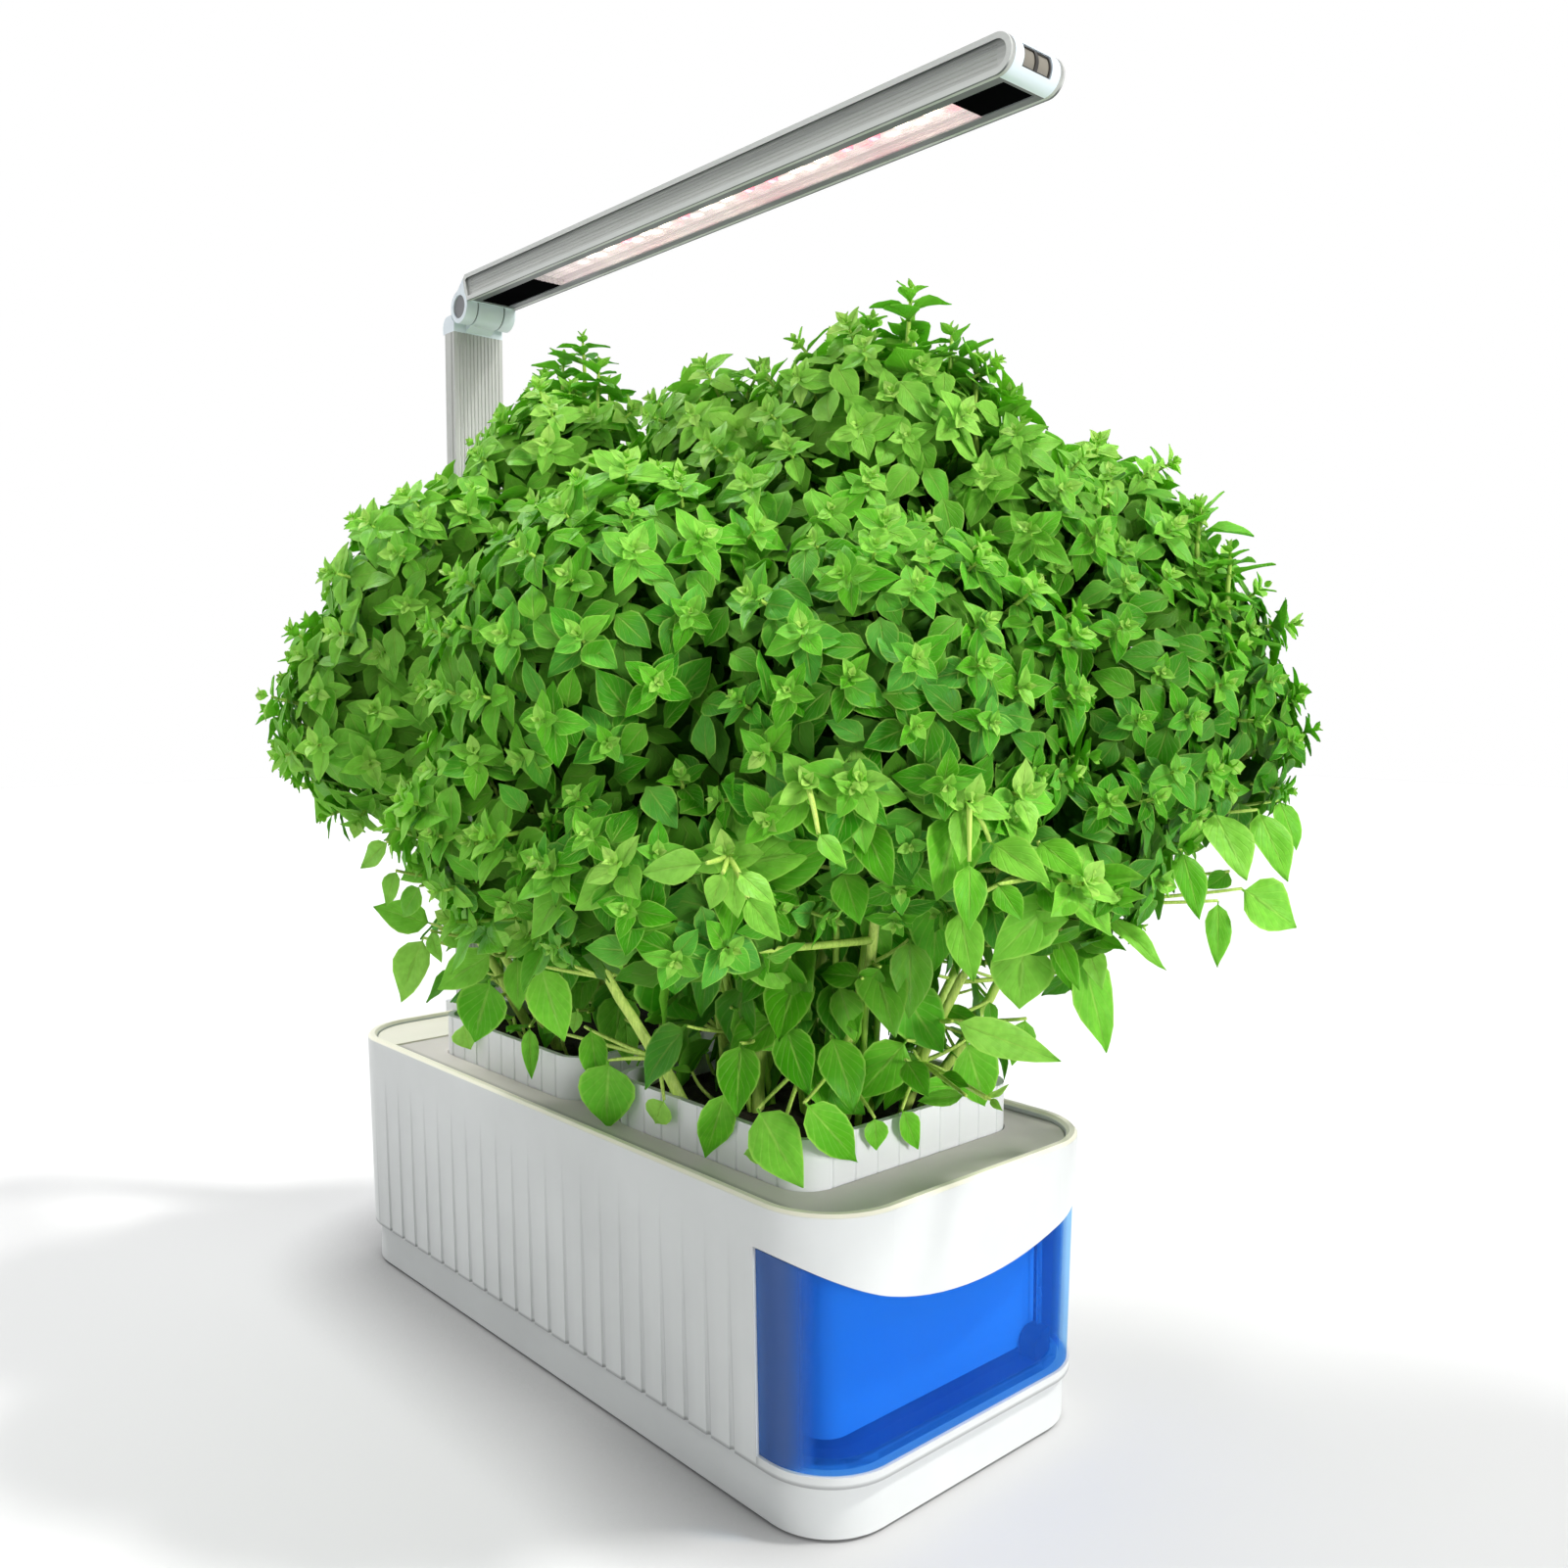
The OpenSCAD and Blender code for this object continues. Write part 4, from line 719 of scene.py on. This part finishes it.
def leaf_material(name, gloss):
    """Basil leaf: coloured by its age and by painted shade, with pale ribs, an edge painted pale as painted
    light, and some light coming through.
    """
    m = Mat(name, (0.1, 0.3, 0.05), 0.42, Specular_IOR_Level=gloss)
    age, rnd, deep = tone_of(m)
    u, v, _ = m.n("SeparateXYZ", m.n("UVMap", uv_map="Leaf").outputs[0]).outputs
    under = m.span(u, 1.4, 1.6)
    off = m.math("ABSOLUTE", m.math("SUBTRACT", m.math("SUBTRACT", u, m.mul(under, 2)), 0.5))
    ramp = m.n("ValToRGB", age)
    e = ramp.color_ramp.elements
    e[0].color, e[1].color = (*lin(216, 252, 132), 1), (*lin(64, 168, 4), 1)
    for at, c in ((0.22, lin(178, 244, 100)), (0.5, lin(134, 226, 56)), (0.75, lin(96, 204, 24))):
        e.new(at).color = (*c, 1)
    # each leaf has its own mix of yellow, blue-green and dark
    old = m.span(age, 0.2, 0.7)
    col = m.mix(m.mul(m.span(rnd, 0.45, 1, 0, 0.6), old), ramp.outputs[0], lin(120, 206, 96))
    col = m.mix(m.mul(m.span(rnd, 0.5, 0, 0, 0.6), old), col, lin(48, 138, 6))
    # a midrib that ends before the tip, and side ribs that arch forward
    arch = m.mul(off, m.math("SUBTRACT", 1.5, off))
    lines = m.n("CombineXYZ", i_Y=m.math("SUBTRACT", v, arch)).outputs[0]
    wave = m.n("TexWave", lines, wave_type="BANDS", bands_direction="Y", i_Scale=1.9, i_Distortion=0)
    ribs = m.math("MAXIMUM", m.mul(m.span(off, 0.040, 0.010), m.span(v, 1.05, 0.6)),
                  m.mul(m.span(wave.outputs["Fac"], 0.86, 1), 0.4))
    pale = m.mix(0.72, col, lin(206, 250, 116))
    col = m.mix(m.span(v, 0, 0.45, 0.35, 0), col, pale)
    col = m.mix(m.mul(ribs, 0.85), col, pale)
    patch = m.noise(420, 3)
    col = m.mix(m.span(patch, 0.35, 0.75, 0, 0.3), col, lin(64, 158, 12))
    # painted light: a pale edge, standing in for light through the thin margin
    col = m.mix(m.span(off, 0.435, 0.485, 0, 0.85), col, pale)
    col = m.mix(m.mul(under, 0.45), col, lin(136, 190, 74))
    # painted shade: leaves deep in the crown and on the shaded side are darker
    col = m.mix(m.mul(deep, 0.92), col, lin(20, 74, 2))
    height = m.math("SUBTRACT", m.mul(patch, 0.5), m.mul(ribs, 0.45))
    m.set(Base_Color=col, Roughness=m.span(patch, 0.3, 0.7, 0.38, 0.52),
          Normal=m.bump(height, 0.85, 0.0005))
    glow = m.n("BsdfTranslucent", m.mix(0.4, col, lin(170, 240, 50)))
    m.surface(m.n("MixShader", 0.38, m.bsdf.outputs[0], glow.outputs[0]))
    return m


def stem_material():
    """Stem: green to yellowish, with fine lines."""
    m = Mat("basil_stem", lin(168, 190, 96), 0.45, Specular_IOR_Level=0.35)
    lines = m.noise(1500, 2, 0.6, (1, 1, 0.06))
    base = m.mix(tone_of(m)[0], lin(226, 244, 132), lin(160, 212, 70))
    m.set(Base_Color=m.mix(m.span(lines, 0.35, 0.65, 0, 0.5), base, lin(136, 184, 52)),
          Roughness=m.span(m.noise(300, 2), 0.3, 0.7, 0.4, 0.55), Normal=m.bump(lines, 0.3, 0.0003))
    return m


leaf_mat, stem_mat = leaf_material("basil_leaf", 0.22), stem_material()
# a shaded copy of the leaf material, with less gloss, for the leaves inside the crown
shaded_mat = leaf_material("basil_leaf_shade_copy", 0.06)


def curve_up(p0, p1, bow, n):
    """From p0 to p1, leaving p0 mostly sideways and arriving mostly upright."""
    c = p1 * (1 - bow) + p0 * bow
    c[2] = p0[2] * 0.55 + p1[2] * 0.45
    t = np.linspace(0, 1, n)[:, None]
    return (1 - t) ** 2 * p0 + 2 * t * (1 - t) * c + t * t * p1


# Low leaves seen in front, one on each line: base x y z, steps x y z to the tip and width in mm,
# then age and depth of shade in percent
LOW_LEAVES = {
    "front": """
70 -46 159 -7 -10 -13 12 35 0
70 -35 128 10 10 -11 12 75 0
30 -50 107 -1 -1 -19 17 70 0
55 -48 100 -5 0 -8 8 20 0
99 -50 108 15 -1 -14 13 55 0
115 -48 113 1 17 -18 10 80 0
84 -49 109 -8 0 -20 9 75 0
104 -48 97 -12 -1 -4 5 30 0
114 -21 103 1 0 -8 6 60 0
114 -10 103 1 5 -11 6 70 0
112 19 117 1 8 -19 14 70 0
106 -4 136 9 8 -17 14 90 0
142 7 152 0 -1 -16 15 45 0
117 0 165 1 -1 -21 14 85 0
83 -39 149 7 7 -12 11 50 0
36 -55 154 3 2 -17 10 60 0
15 -65 136 5 4 -20 12 60 0
3 -49 110 -6 -1 -19 9 70 0
17 -50 115 5 -1 -15 8 70 0
37 -40 140 10 9 -18 21 100 0
90 -21 111 9 9 -11 12 95 0
111 -5 121 -8 -10 -15 12 80 0
94 -8 128 -4 -7 -14 9 60 0
112 19 104 0 -19 2 6 80 0
126 -3 129 18 19 -10 9 30 0
72 -37 142 -5 -6 -4 6 80 0
73 -16 136 7 7 -12 11 95 0
163 83 161 10 11 -10 14 50 0
157 80 157 1 -1 -17 7 60 0
142 32 147 7 5 -26 12 60 0
11 -62 146 24 -2 -3 7 75 10
86 -92 177 -12 -3 -5 5 30 0
89 -90 173 -4 -2 -9 6 40 0
86 -80 169 12 -2 -6 7 75 10
74 -74 165 11 -2 -9 6 60 0
140 -100 182 -17 -4 -3 7 30 0
122 -70 174 24 -2 9 10 85 20
143 -98 180 -2 -2 -7 5 30 0
144 -92 174 11 -2 -6 6 40 0
146 -96 180 12 -2 -4 5 35 0
137 -56 176 7 -2 -10 8 80 15
149 -62 189 10 -2 -11 8 90 20
144 -40 178 -3 -2 -9 7 90 30
171 -50 181 2 -2 -13 7 75 0
156 -36 167 6 -2 -14 8 50 0
110 -22 141 -14 -2 0 7 90 30
113 -18 144 -5 -2 -8 7 90 35
69 -14 124 15 -2 -11 13 95 60
117 -12 118 9 -2 -6 7 90 35
137 -10 112 -14 -2 -4 4 60 10
138 14 129 -2 -2 -12 7 60 10
120 20 130 1 0 -8 4 90 30
112 10 128 14 -2 -2 5 85 30
134 2 108 8 -2 5 2 10 0
137 0 109 5 -2 -1 2 10 0
167 -20 183 13 -2 -6 8 60 0
172 -44 185 15 -2 -5 8 45 0
160 -16 161 12 -2 3 6 40 0
155 4 156 8 -2 -11 5 75 10
29 -18 115 0 -2 -18 10 60 35
70 -30 106 -6 -1 -4 4 90 20
163 66 185 13 -6 -15 12 40 0
170 78 185 11 -4 -16 10 55 0
170 90 187 8 -4 -11 8 65 10
163 50 175 8 -4 -15 8 80 10
152 40 183 14 0 -15 10 95 30
164 58 184 -3 -4 -10 7 50 0
164 74 167 -5 -2 -5 6 90 30
162 16 161 17 -2 -10 6 45 0
153 18 155 13 -2 -2 5 60 10
148 12 152 7 -2 -10 5 90 20
142 34 149 8 -2 -10 7 35 10
140 34 140 -10 0 -10 7 95 30
169 -2 173 16 -6 3 6 30 0
170 0 168 14 -4 2 5 40 0
163 -14 172 9 -2 -6 7 70 10
163 -30 173 8 -2 -6 6 75 10
160 10 190 7 -2 -14 9 95 35
160 -86 189 9 -2 -5 4 50 0
37 -30 130 13 -2 -6 7 85 30
26 -60 137 -10 -2 2 4 30 0
119 0 112 9 0 -1 4 90 40
32 -76 167 7 -2 -10 8 55 5
41 -82 168 -20 -2 -6 7 45 0
""",
    "rear": """
-63 -48 101 5 -1 -7 10 20 0
-16 -63 135 -10 -12 -10 11 50 0
-26 -58 124 -3 -4 -18 16 85 0
-51 -69 136 -4 -7 -19 12 25 0
-53 -65 140 -12 -13 5 10 50 0
-42 -68 140 7 8 -4 8 40 0
-32 -69 166 -10 -11 -7 11 50 0
-54 -93 196 -5 -8 -17 13 40 0
-5 -34 113 30 -2 9 8 90 35
-19 -52 132 3 -2 -15 8 55 0
9 -66 151 -16 -2 -3 5 25 0
2 -64 145 -12 -2 -5 6 35 0
8 -24 109 4 -2 -11 7 50 10
4 -44 117 -1 -1 -7 4 30 0
-12 -52 110 2 -1 -15 5 60 5
-43 -60 166 24 -2 -13 12 95 25
-36 -56 154 29 -2 5 9 90 30
-27 -90 163 -3 -2 -10 6 35 0
-36 -74 141 6 -1 -8 5 40 0
-42 -60 142 19 0 -4 8 90 30
-23 -84 158 -9 -2 -10 7 60 5
-12 -100 174 -12 -2 -8 6 35 0
""",
}
# Low shoot tips seen in front: x y z, size
LOW_SPRIGS = [
    (44, -121, 190, 1.2), (71, -114, 183, 1.2), (92, -108, 176, 1.25), (111, -103, 179, 1.2),
    (128, -84, 181, 1.6), (44, -108, 158, 1.3), (64, -98, 156, 1.4), (146, -76, 198, 1.1),
    (156, -70, 199, 1.1), (170, -49, 194, 1.3), (174, -35, 195, 1.1), (176, -14, 173, 1.5),
]
# Shoots that stand above the crowns: x y z, size
TOP_SPRIGS = {
    "front": [
        (108, -2, 327, 1.15), (100, 4, 320, 1.1), (116, 6, 316, 1.1), (94, -3, 322, 1), (121, 11, 308, 1.1),
        (107, 12, 313, 1), (101, -10, 314, 1.05), (86, 8, 313, 1), (125, 20, 300, 1.1), (132, 16, 290, 1),
        (112, -5, 313, 1), (160, 61, 270, 1.1), (169, 62, 257, 1), (152, 74, 268, 1), (138, 44, 277, 1),
    ],
    "rear": [
        (-22, -22, 335, 1.15), (-34, -22, 331, 1.1), (-47, -21, 329, 1.1), (-10, -24, 324, 1.1),
        (-53, -18, 321, 1), (-30, -33, 322, 1), (-40, -13, 320, 1), (-20, -13, 322, 1), (-60, -20, 311, 1),
    ],
}
# Main stems seen in front: points from the soil upwards, in mm
MAIN_STEMS = {
    "front": [
        [(56, -38, 92), (43, -50, 122), (30, -58, 145), (24, -66, 170)],
        [(37, -9, 92), (42, -17, 125), (44, -19, 153), (52, -22, 190)],
        [(69, -24, 92), (70, -24, 110), (73, -24, 133), (73, -29, 156), (80, -34, 186)],
        [(49, 23, 92), (75, 12, 124), (87, 16, 149), (97, 18, 167), (112, 26, 196)],
        [(84, -8, 92), (94, -12, 120), (108, -16, 150), (118, -24, 185)],
        [(60, 2, 92), (66, 6, 140), (72, 4, 200)],
        [(88, 28, 92), (104, 44, 130), (120, 56, 180)],
        [(44, 34, 92), (50, 52, 130), (70, 72, 190)],
        [(72, 36, 92), (76, 62, 135), (76, 92, 185)],
        [(98, 6, 92), (112, 8, 125), (132, 12, 160)],
        [(32, 14, 92), (34, 10, 150), (44, -8, 240)],
    ],
    "rear": [
        [(-43, 4, 92), (-44, 2, 140), (-42, 0, 200)],
        [(-62, -20, 92), (-66, -38, 128), (-60, -62, 180)],
        [(-34, -26, 92), (-34, -48, 130), (-36, -76, 180)],
        [(-24, -12, 92), (-20, -24, 140), (-20, -46, 200)],
        [(-60, 22, 92), (-70, 34, 135), (-72, 38, 190)],
        [(-30, 26, 92), (-32, 44, 140), (-38, 50, 200)],
        [(-20, 12, 92), (-16, 20, 150), (-14, 28, 240)],
        [(-70, 0, 92), (-78, 2, 130), (-70, 6, 185)],
    ],
}


def through(points, step=6.0):
    """A smooth path through points, in steps of about that length."""
    p = np.array(points, float)
    p = np.concatenate([[2 * p[0] - p[1]], p, [2 * p[-1] - p[-2]]])
    out = []
    for i in range(1, len(p) - 2):
        k = max(2, int(np.linalg.norm(p[i + 1] - p[i]) / step))
        t = np.linspace(0, 1, k, endpoint=False)[:, None]
        a, b, c, d = p[i - 1 : i + 3]
        square, cube = 2 * a - 5 * b + 4 * c - d, 3 * b - a - 3 * c + d
        out.append(0.5 * (2 * b + (c - a) * t + square * t**2 + cube * t**3))
    return np.concatenate(out + [p[-2:-1]])


def plant(tray, lobes, seed):
    """All the foliage and stems of one tray."""
    outer, inner, tubes, rng = grow(tray, lobes, seed)
    uniform, normal = rng.uniform, rng.normal
    big = Leaves(LARGE_ROWS, 7)
    mid = np.array([TRAY_X[tray], 0, 0])
    stems = []
    for path in MAIN_STEMS[tray]:
        pts = through(path)
        pts[1:-1] += normal(0, 0.35, (len(pts) - 2, 3))
        tubes.add(pts, uniform(1.7, 2.1), 1.1, (uniform(0.1, 0.5), uniform(), 0), 10)
        stems.append(pts)
    joints = np.concatenate([s[3:] for s in stems])

    def stalk_to(end, thick, tone=0.35):
        """A stalk to end from the nearest stem or branch, a little lower down."""
        cost = np.linalg.norm(joints - end, axis=1) + 0.8 * np.abs(joints[:, 2] - end[2] + 6)
        pts = curve_up(joints[np.argmin(cost)], end, 0.35, 8)
        tubes.add(pts, thick * 1.25, thick * 0.8, (tone, uniform(), 0), 6)

    # branches from the stems into each lobe
    for x, y, z, r in lobes:
        goal = np.array([x, y, z - 0.2 * r])
        for _ in range(5):
            stalk_to(goal + normal(0, 0.33 * r, 3) * [1, 1, 0.6], 1.0, 0.5)
    # the shoots that stand above the crown, each over two whorls of larger leaves
    for x, y, z, size in TOP_SPRIGS[tray]:
        p = np.array([x, y, z], float)
        tubes.add([p - UP * 26, p - UP * 12 + normal(0, 1, 3), p], 0.9, 0.5, (0.6, 0.5, 0), 6)
        for k, pairs in enumerate((5, 2, 2)):
            axis = unit(UP + normal(0, 0.16, 3))
            rosette(outer, p - UP * 9 * k, axis, size * (1 + 0.12 * k), rng, pairs)
    # low shoots on stalks of their own, steep inside the clump and then out to the tip
    for x, y, z, size in LOW_SPRIGS if tray == "front" else ():
        p = np.array([x, y, z], float)
        foot = np.array([mid[0] + 0.22 * (x - mid[0]), 0.17 * y, FOOT_Z]) + normal(0, 3, 3) * [1, 1, 0]
        knee = foot + (p - foot) * [0.16, 0.16, 0.72] + normal(0, 2.0, 3)
        bend = foot + (p - foot) * [0.62, 0.62, 0.98] + normal(0, 1.5, 3)
        pts = through([foot, knee, bend, p])
        tubes.add(pts, 1.1, 0.6, (uniform(0.6, 1.0), uniform(), 0), 8)
        joints = np.concatenate([joints, pts[3:]])
        axis = unit(unit(p - mid - UP * z) * 0.9 + UP * 0.4)
        rosette(big, p, axis, 1.15 * size, rng, pairs=6, younger_and_sunlit=0.55)
    # the low leaves seen in front
    for row in LOW_LEAVES[tray].strip().splitlines():
        x, y, z, *step, wide, age, deep = map(float, row.split())
        base, step = np.array([x, y, z]), np.array(step)
        stalk_to(base, 0.6)
        out = unit(base - mid - UP * base[2])
        face = unit(NEAR_CORNER * 0.8 + out * 0.2 + UP * 0.25 + normal(0, 0.14, 3))
        big.add(base, unit(step), face, 1.16 * np.linalg.norm(step), 1.2 * wide,
                curl=uniform(0.10, 0.24), droop=uniform(0.0, 0.15), age=0.75 * (age / 100),
                rnd=uniform(0.3, 0.6), deep=deep / 100)
    # larger leaves that hang between the stems at the near corner
    for _ in range(56):
        way = unit(NEAR_CORNER + [*normal(0, 0.6, 2), 0])
        p = mid + way * uniform(22, 52) + UP * uniform(112, 172)
        stalk_to(p, 0.55)
        size = uniform(16, 24)
        d = unit(way * 0.3 - UP * uniform(0.5, 1.3) + normal(0, 0.4, 3))
        face = unit(way * 0.9 + UP * 0.35 + normal(0, 0.2, 3))
        big.add(p, d, face, size, size * uniform(0.6, 0.74),
                curl=uniform(0.10, 0.28), droop=uniform(0.05, 0.25), age=uniform(0.4, 0.9),
                rnd=uniform(0.2, 0.6), deep=uniform(0.0, 0.5))
    # low shoots on the other sides
    for k in range(34):
        out = level(k * GOLDEN_ANGLE)
        p = mid + out * uniform(38, 66) + UP * uniform(122, 168)
        if toward(p, tray)[0] > {"front": 0.15, "rear": 0.6}[tray]:
            continue
        stalk_to(p, 0.7)
        axis = unit(out * 0.9 + UP * 0.4 + normal(0, 0.2, 3))
        rosette(big, p, axis, uniform(1.15, 1.6), rng, younger_and_sunlit=0.0)
    # single leaves on stalks among the stems, with painted shade that is deepest near the middle
    for _ in range(190):
        out = level(uniform(0, 2 * math.pi))
        far = uniform(0.15, 1.0) ** 0.7
        p = mid + out * far * uniform(46, 62) + UP * uniform(104, 172)
        p[2] = max(p[2], 104 + 0.25 * np.hypot(p[0] - mid[0], p[1]))
        if toward(p, tray)[0] > 0.1 and (far > 0.5 or uniform() < 0.4):
            continue
        stalk_to(p, 0.5)
        size = uniform(14, 25)
        d = unit(out * 0.8 + UP * uniform(-1.3, 0.0) + normal(0, 0.35, 3))
        face = unit(UP * 0.55 + out * 0.9 + normal(0, 0.25, 3))
        big.add(p, d, face, size, size * uniform(0.56, 0.72),
                curl=uniform(0.10, 0.28), droop=uniform(0.05, 0.3), age=uniform(0.45, 0.95),
                rnd=uniform(), deep=np.clip(0.9 - 0.95 * far + normal(0, 0.1), 0, 1))
    # seed leaves on thin stalks over the rims of the tray
    for _ in range(14):
        out = level(uniform(0, 2 * math.pi))
        p = mid + out * uniform(30, 44) + UP * uniform(99, 106)
        p[:2] = np.clip(p[:2], [mid[0] - 42, -42], [mid[0] + 42, 42])
        foot = p - out * uniform(4, 10) - UP * (p[2] - FOOT_Z)
        tubes.add(curve_up(foot, p, 0.2, 7), 0.7, 0.55, (0.3, uniform(), 0), 6)
        size = uniform(6.5, 9)
        d = unit(out + UP * 0.1 + normal(0, 0.2, 3))
        big.add(p, d, unit(UP + out * 0.4), size, size,
                curl=0.1, droop=0.1, age=uniform(0.3, 0.6), rnd=uniform(), deep=0.0)
    for leaves in (outer, inner, big):
        fit_to_room(leaves, tray)
    # the shoots are one mesh for each part of the clump, from the near side to the far side
    outer.list.sort(key=lambda r: r[1])
    parts = {"front": ("near", "middle", "far"), "rear": ("near", "middle")}[tray]
    share = math.ceil(len(outer.list) / len(parts))
    made = []
    for k, part in enumerate(parts):
        some = Leaves()
        some.list = outer.list[k * share : (k + 1) * share]
        made.append(some.build(f"{tray}_shoots_{part}"))
    made.append(inner.build(tray + "_older_leaves"))
    made.append(big.build(tray + "_low_leaves"))
    for o in made:
        o.data.materials.append((shaded_mat if "older" in o.name else leaf_mat).m)
        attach(o, tray + "_planting")
    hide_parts(tray + "_basil")
    st = tubes.build(tray + "_plant_stems")
    st.data.materials.append(stem_mat.m)
    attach(st, tray + "_planting")
    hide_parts(tray + "_stems")


plant("front", FRONT_LOBES, 11)
plant("rear", REAR_LOBES, 23)

# -------------------- soil


def soil_material():
    """Dark, rough potting mix."""
    m = Mat("potting_soil", (0.02, 0.013, 0.008), 0.95)
    m.set(Base_Color=m.fade(m.noise(500, 6, 0.7), 0.3, 0.7, (0.007, 0.005, 0.003), (0.05, 0.032, 0.018)),
          Normal=m.bump(m.noise(900, 6, 0.75), 1.0, 0.0012))
    return m


soil_mat = soil_material()
SOIL_RADIUS, SOIL_GRID = 7.8 * MM, 72


def soil(tray, seed):
    """Loose potting mix: a rough block that fills the tray, with crumbs on it."""
    lo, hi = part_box(tray + "_soil")
    rng = np.random.default_rng(seed)
    cx, cy = (lo.x + hi.x) / 2, (lo.y + hi.y) / 2
    hx, hy, r = (hi.x - lo.x) / 2, (hi.y - lo.y) / 2, SOIL_RADIUS
    n = SOIL_GRID
    g = np.linspace(-1, 1, n)
    gx, gy = np.meshgrid(g, g, indexing="ij")
    # a square grid drawn into the rounded rectangle
    px, py = gx * hx, gy * hy
    kx, ky = np.abs(px) - (hx - r), np.abs(py) - (hy - r)
    corner = (kx > 0) & (ky > 0)
    q = np.maximum(np.hypot(kx, ky), 1e-9)
    m = np.maximum(kx, ky)
    scale = np.where(corner, m / q, 1)
    px = np.where(corner, np.sign(px) * (hx - r + kx * scale), px)
    py = np.where(corner, np.sign(py) * (hy - r + ky * scale), py)
    bumps = np.zeros_like(px)
    for _ in range(260):
        x, y = rng.uniform(-hx, hx), rng.uniform(-hy, hy)
        w, h = rng.uniform(0.0015, 0.0065), rng.uniform(-0.0012, 0.0019)
        bumps += h * np.exp(-((px - x) ** 2 + (py - y) ** 2) / (w * w))
    rim = np.clip((1 - np.maximum(np.abs(gx), np.abs(gy))) * 12, 0, 1)
    z = hi.z - 0.0006 + np.clip(bumps, -0.003, 0.0035) * rim
    top = np.stack([px + cx, py + cy, z], -1).reshape(-1, 3)
    idx = np.arange(n * n).reshape(n, n)
    f = [np.stack([idx[:-1, :-1], idx[1:, :-1], idx[1:, 1:], idx[:-1, 1:]], -1).reshape(-1, 4)]
    loop = np.concatenate([idx[:, 0], idx[-1, 1:], idx[-2::-1, -1], idx[0, -2:0:-1]])
    below = top.copy()
    below[:, 2] = lo.z
    low = n * n + loop
    f.append(np.stack([loop, low, np.roll(low, -1), np.roll(loop, -1)], -1))
    # the underside is the same grid, flat
    f.append(f[0][:, ::-1] + n * n)
    ob = make_mesh(tray + "_potting_mix", np.concatenate([top, below]), np.concatenate(f))
    ob.data.materials.append(soil_mat.m)
    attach(ob, tray + "_planting")
    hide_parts(tray + "_soil")


soil("front", 5)
soil("rear", 6)

# -------------------- floor, world, lights

WINDOW_WAY = (-0.88, -0.16, 0.45)


def light_world(world):
    """White to the camera and through glass. Else a soft sky, brighter towards the rear and up."""
    world.use_nodes = True
    w = Nodes(world.node_tree)
    w.nt.nodes.clear()
    at = w.n("TexCoord").outputs["Generated"]
    toward_window = w.n("VectorMath", at, WINDOW_WAY, operation="DOT_PRODUCT").outputs["Value"]
    sky = w.n("Background", (0.98, 0.99, 1.0), w.span(toward_window, 0.0, 1.0, 0.36, 1.15))
    white = w.n("Background", (1, 1, 1), 1.0)
    ray = w.n("LightPath").outputs
    seen = w.math("MAXIMUM", ray["Is Camera Ray"], ray["Is Transmission Ray"])
    w.n("OutputWorld", w.n("MixShader", seen, sky.outputs[0], white.outputs[0]).outputs[0])


world = bpy.data.worlds.new("studio")
bpy.context.scene.world = world
light_world(world)

FLOOR_HALF = 3.0
FLOOR_PALE = (0.61, 0.61, 0.615)
corners = [(x * FLOOR_HALF, y * FLOOR_HALF, 0) for x, y in ((-1, -1), (1, -1), (1, 1), (-1, 1))]
floor = make_mesh("floor", corners, [(0, 1, 2, 3)])
fm = Mat("floor_pale", FLOOR_PALE, 0.6, Specular_IOR_Level=0.1)
# painted contact shadow where the object stands on the floor, on the side away from the key light
key_way = fm.n("CombineXYZ", 0.61, 0.49, 0.62)
contact = fm.n("AmbientOcclusion", samples=24, i_Distance=0.06, i_Normal=key_way.outputs[0])
open_floor = fm.span(contact.outputs["AO"], 0.25, 0.85, 0.28, 1.0)
fm.set(Base_Color=fm.mix(open_floor, (0.0, 0.0, 0.0), FLOOR_PALE))
# a little light of its own, for the camera only, dimmed under the painted contact shadow
seen = fm.n("LightPath").outputs["Is Camera Ray"]
dark, glow = fm.n("Emission", (1, 1, 1), 0.0), fm.n("Emission", (1, 1, 1), fm.mul(open_floor, 0.13))
lift = fm.n("MixShader", seen, dark.outputs[0], glow.outputs[0])
fm.surface(fm.n("AddShader", fm.bsdf.outputs[0], lift.outputs[0]))
floor.data.materials.append(fm.m)


def sun(name, direction, strength, angle, color=(1, 1, 1)):
    """A sun lamp that shines along direction; angle is its width in degrees."""
    data = bpy.data.lights.new(name, "SUN")
    data.energy, data.angle, data.color = strength, math.radians(angle), color
    ob = bpy.data.objects.new(name, data)
    bpy.context.scene.collection.objects.link(ob)
    ob.rotation_mode = "QUATERNION"
    ob.rotation_quaternion = Vector(direction).to_track_quat("-Z", "Y")


sun("key", (-0.42, -0.34, -0.84), 2.1, 6, (1.0, 0.99, 0.96))
sun("window_fill", (-0.97, -0.06, -0.18), 1.95, 16)
sun("ceiling", (0.60, 0.12, -0.79), 1.45, 14, (1.0, 1.0, 0.98))

bpy.context.scene.view_settings.view_transform = "Standard"
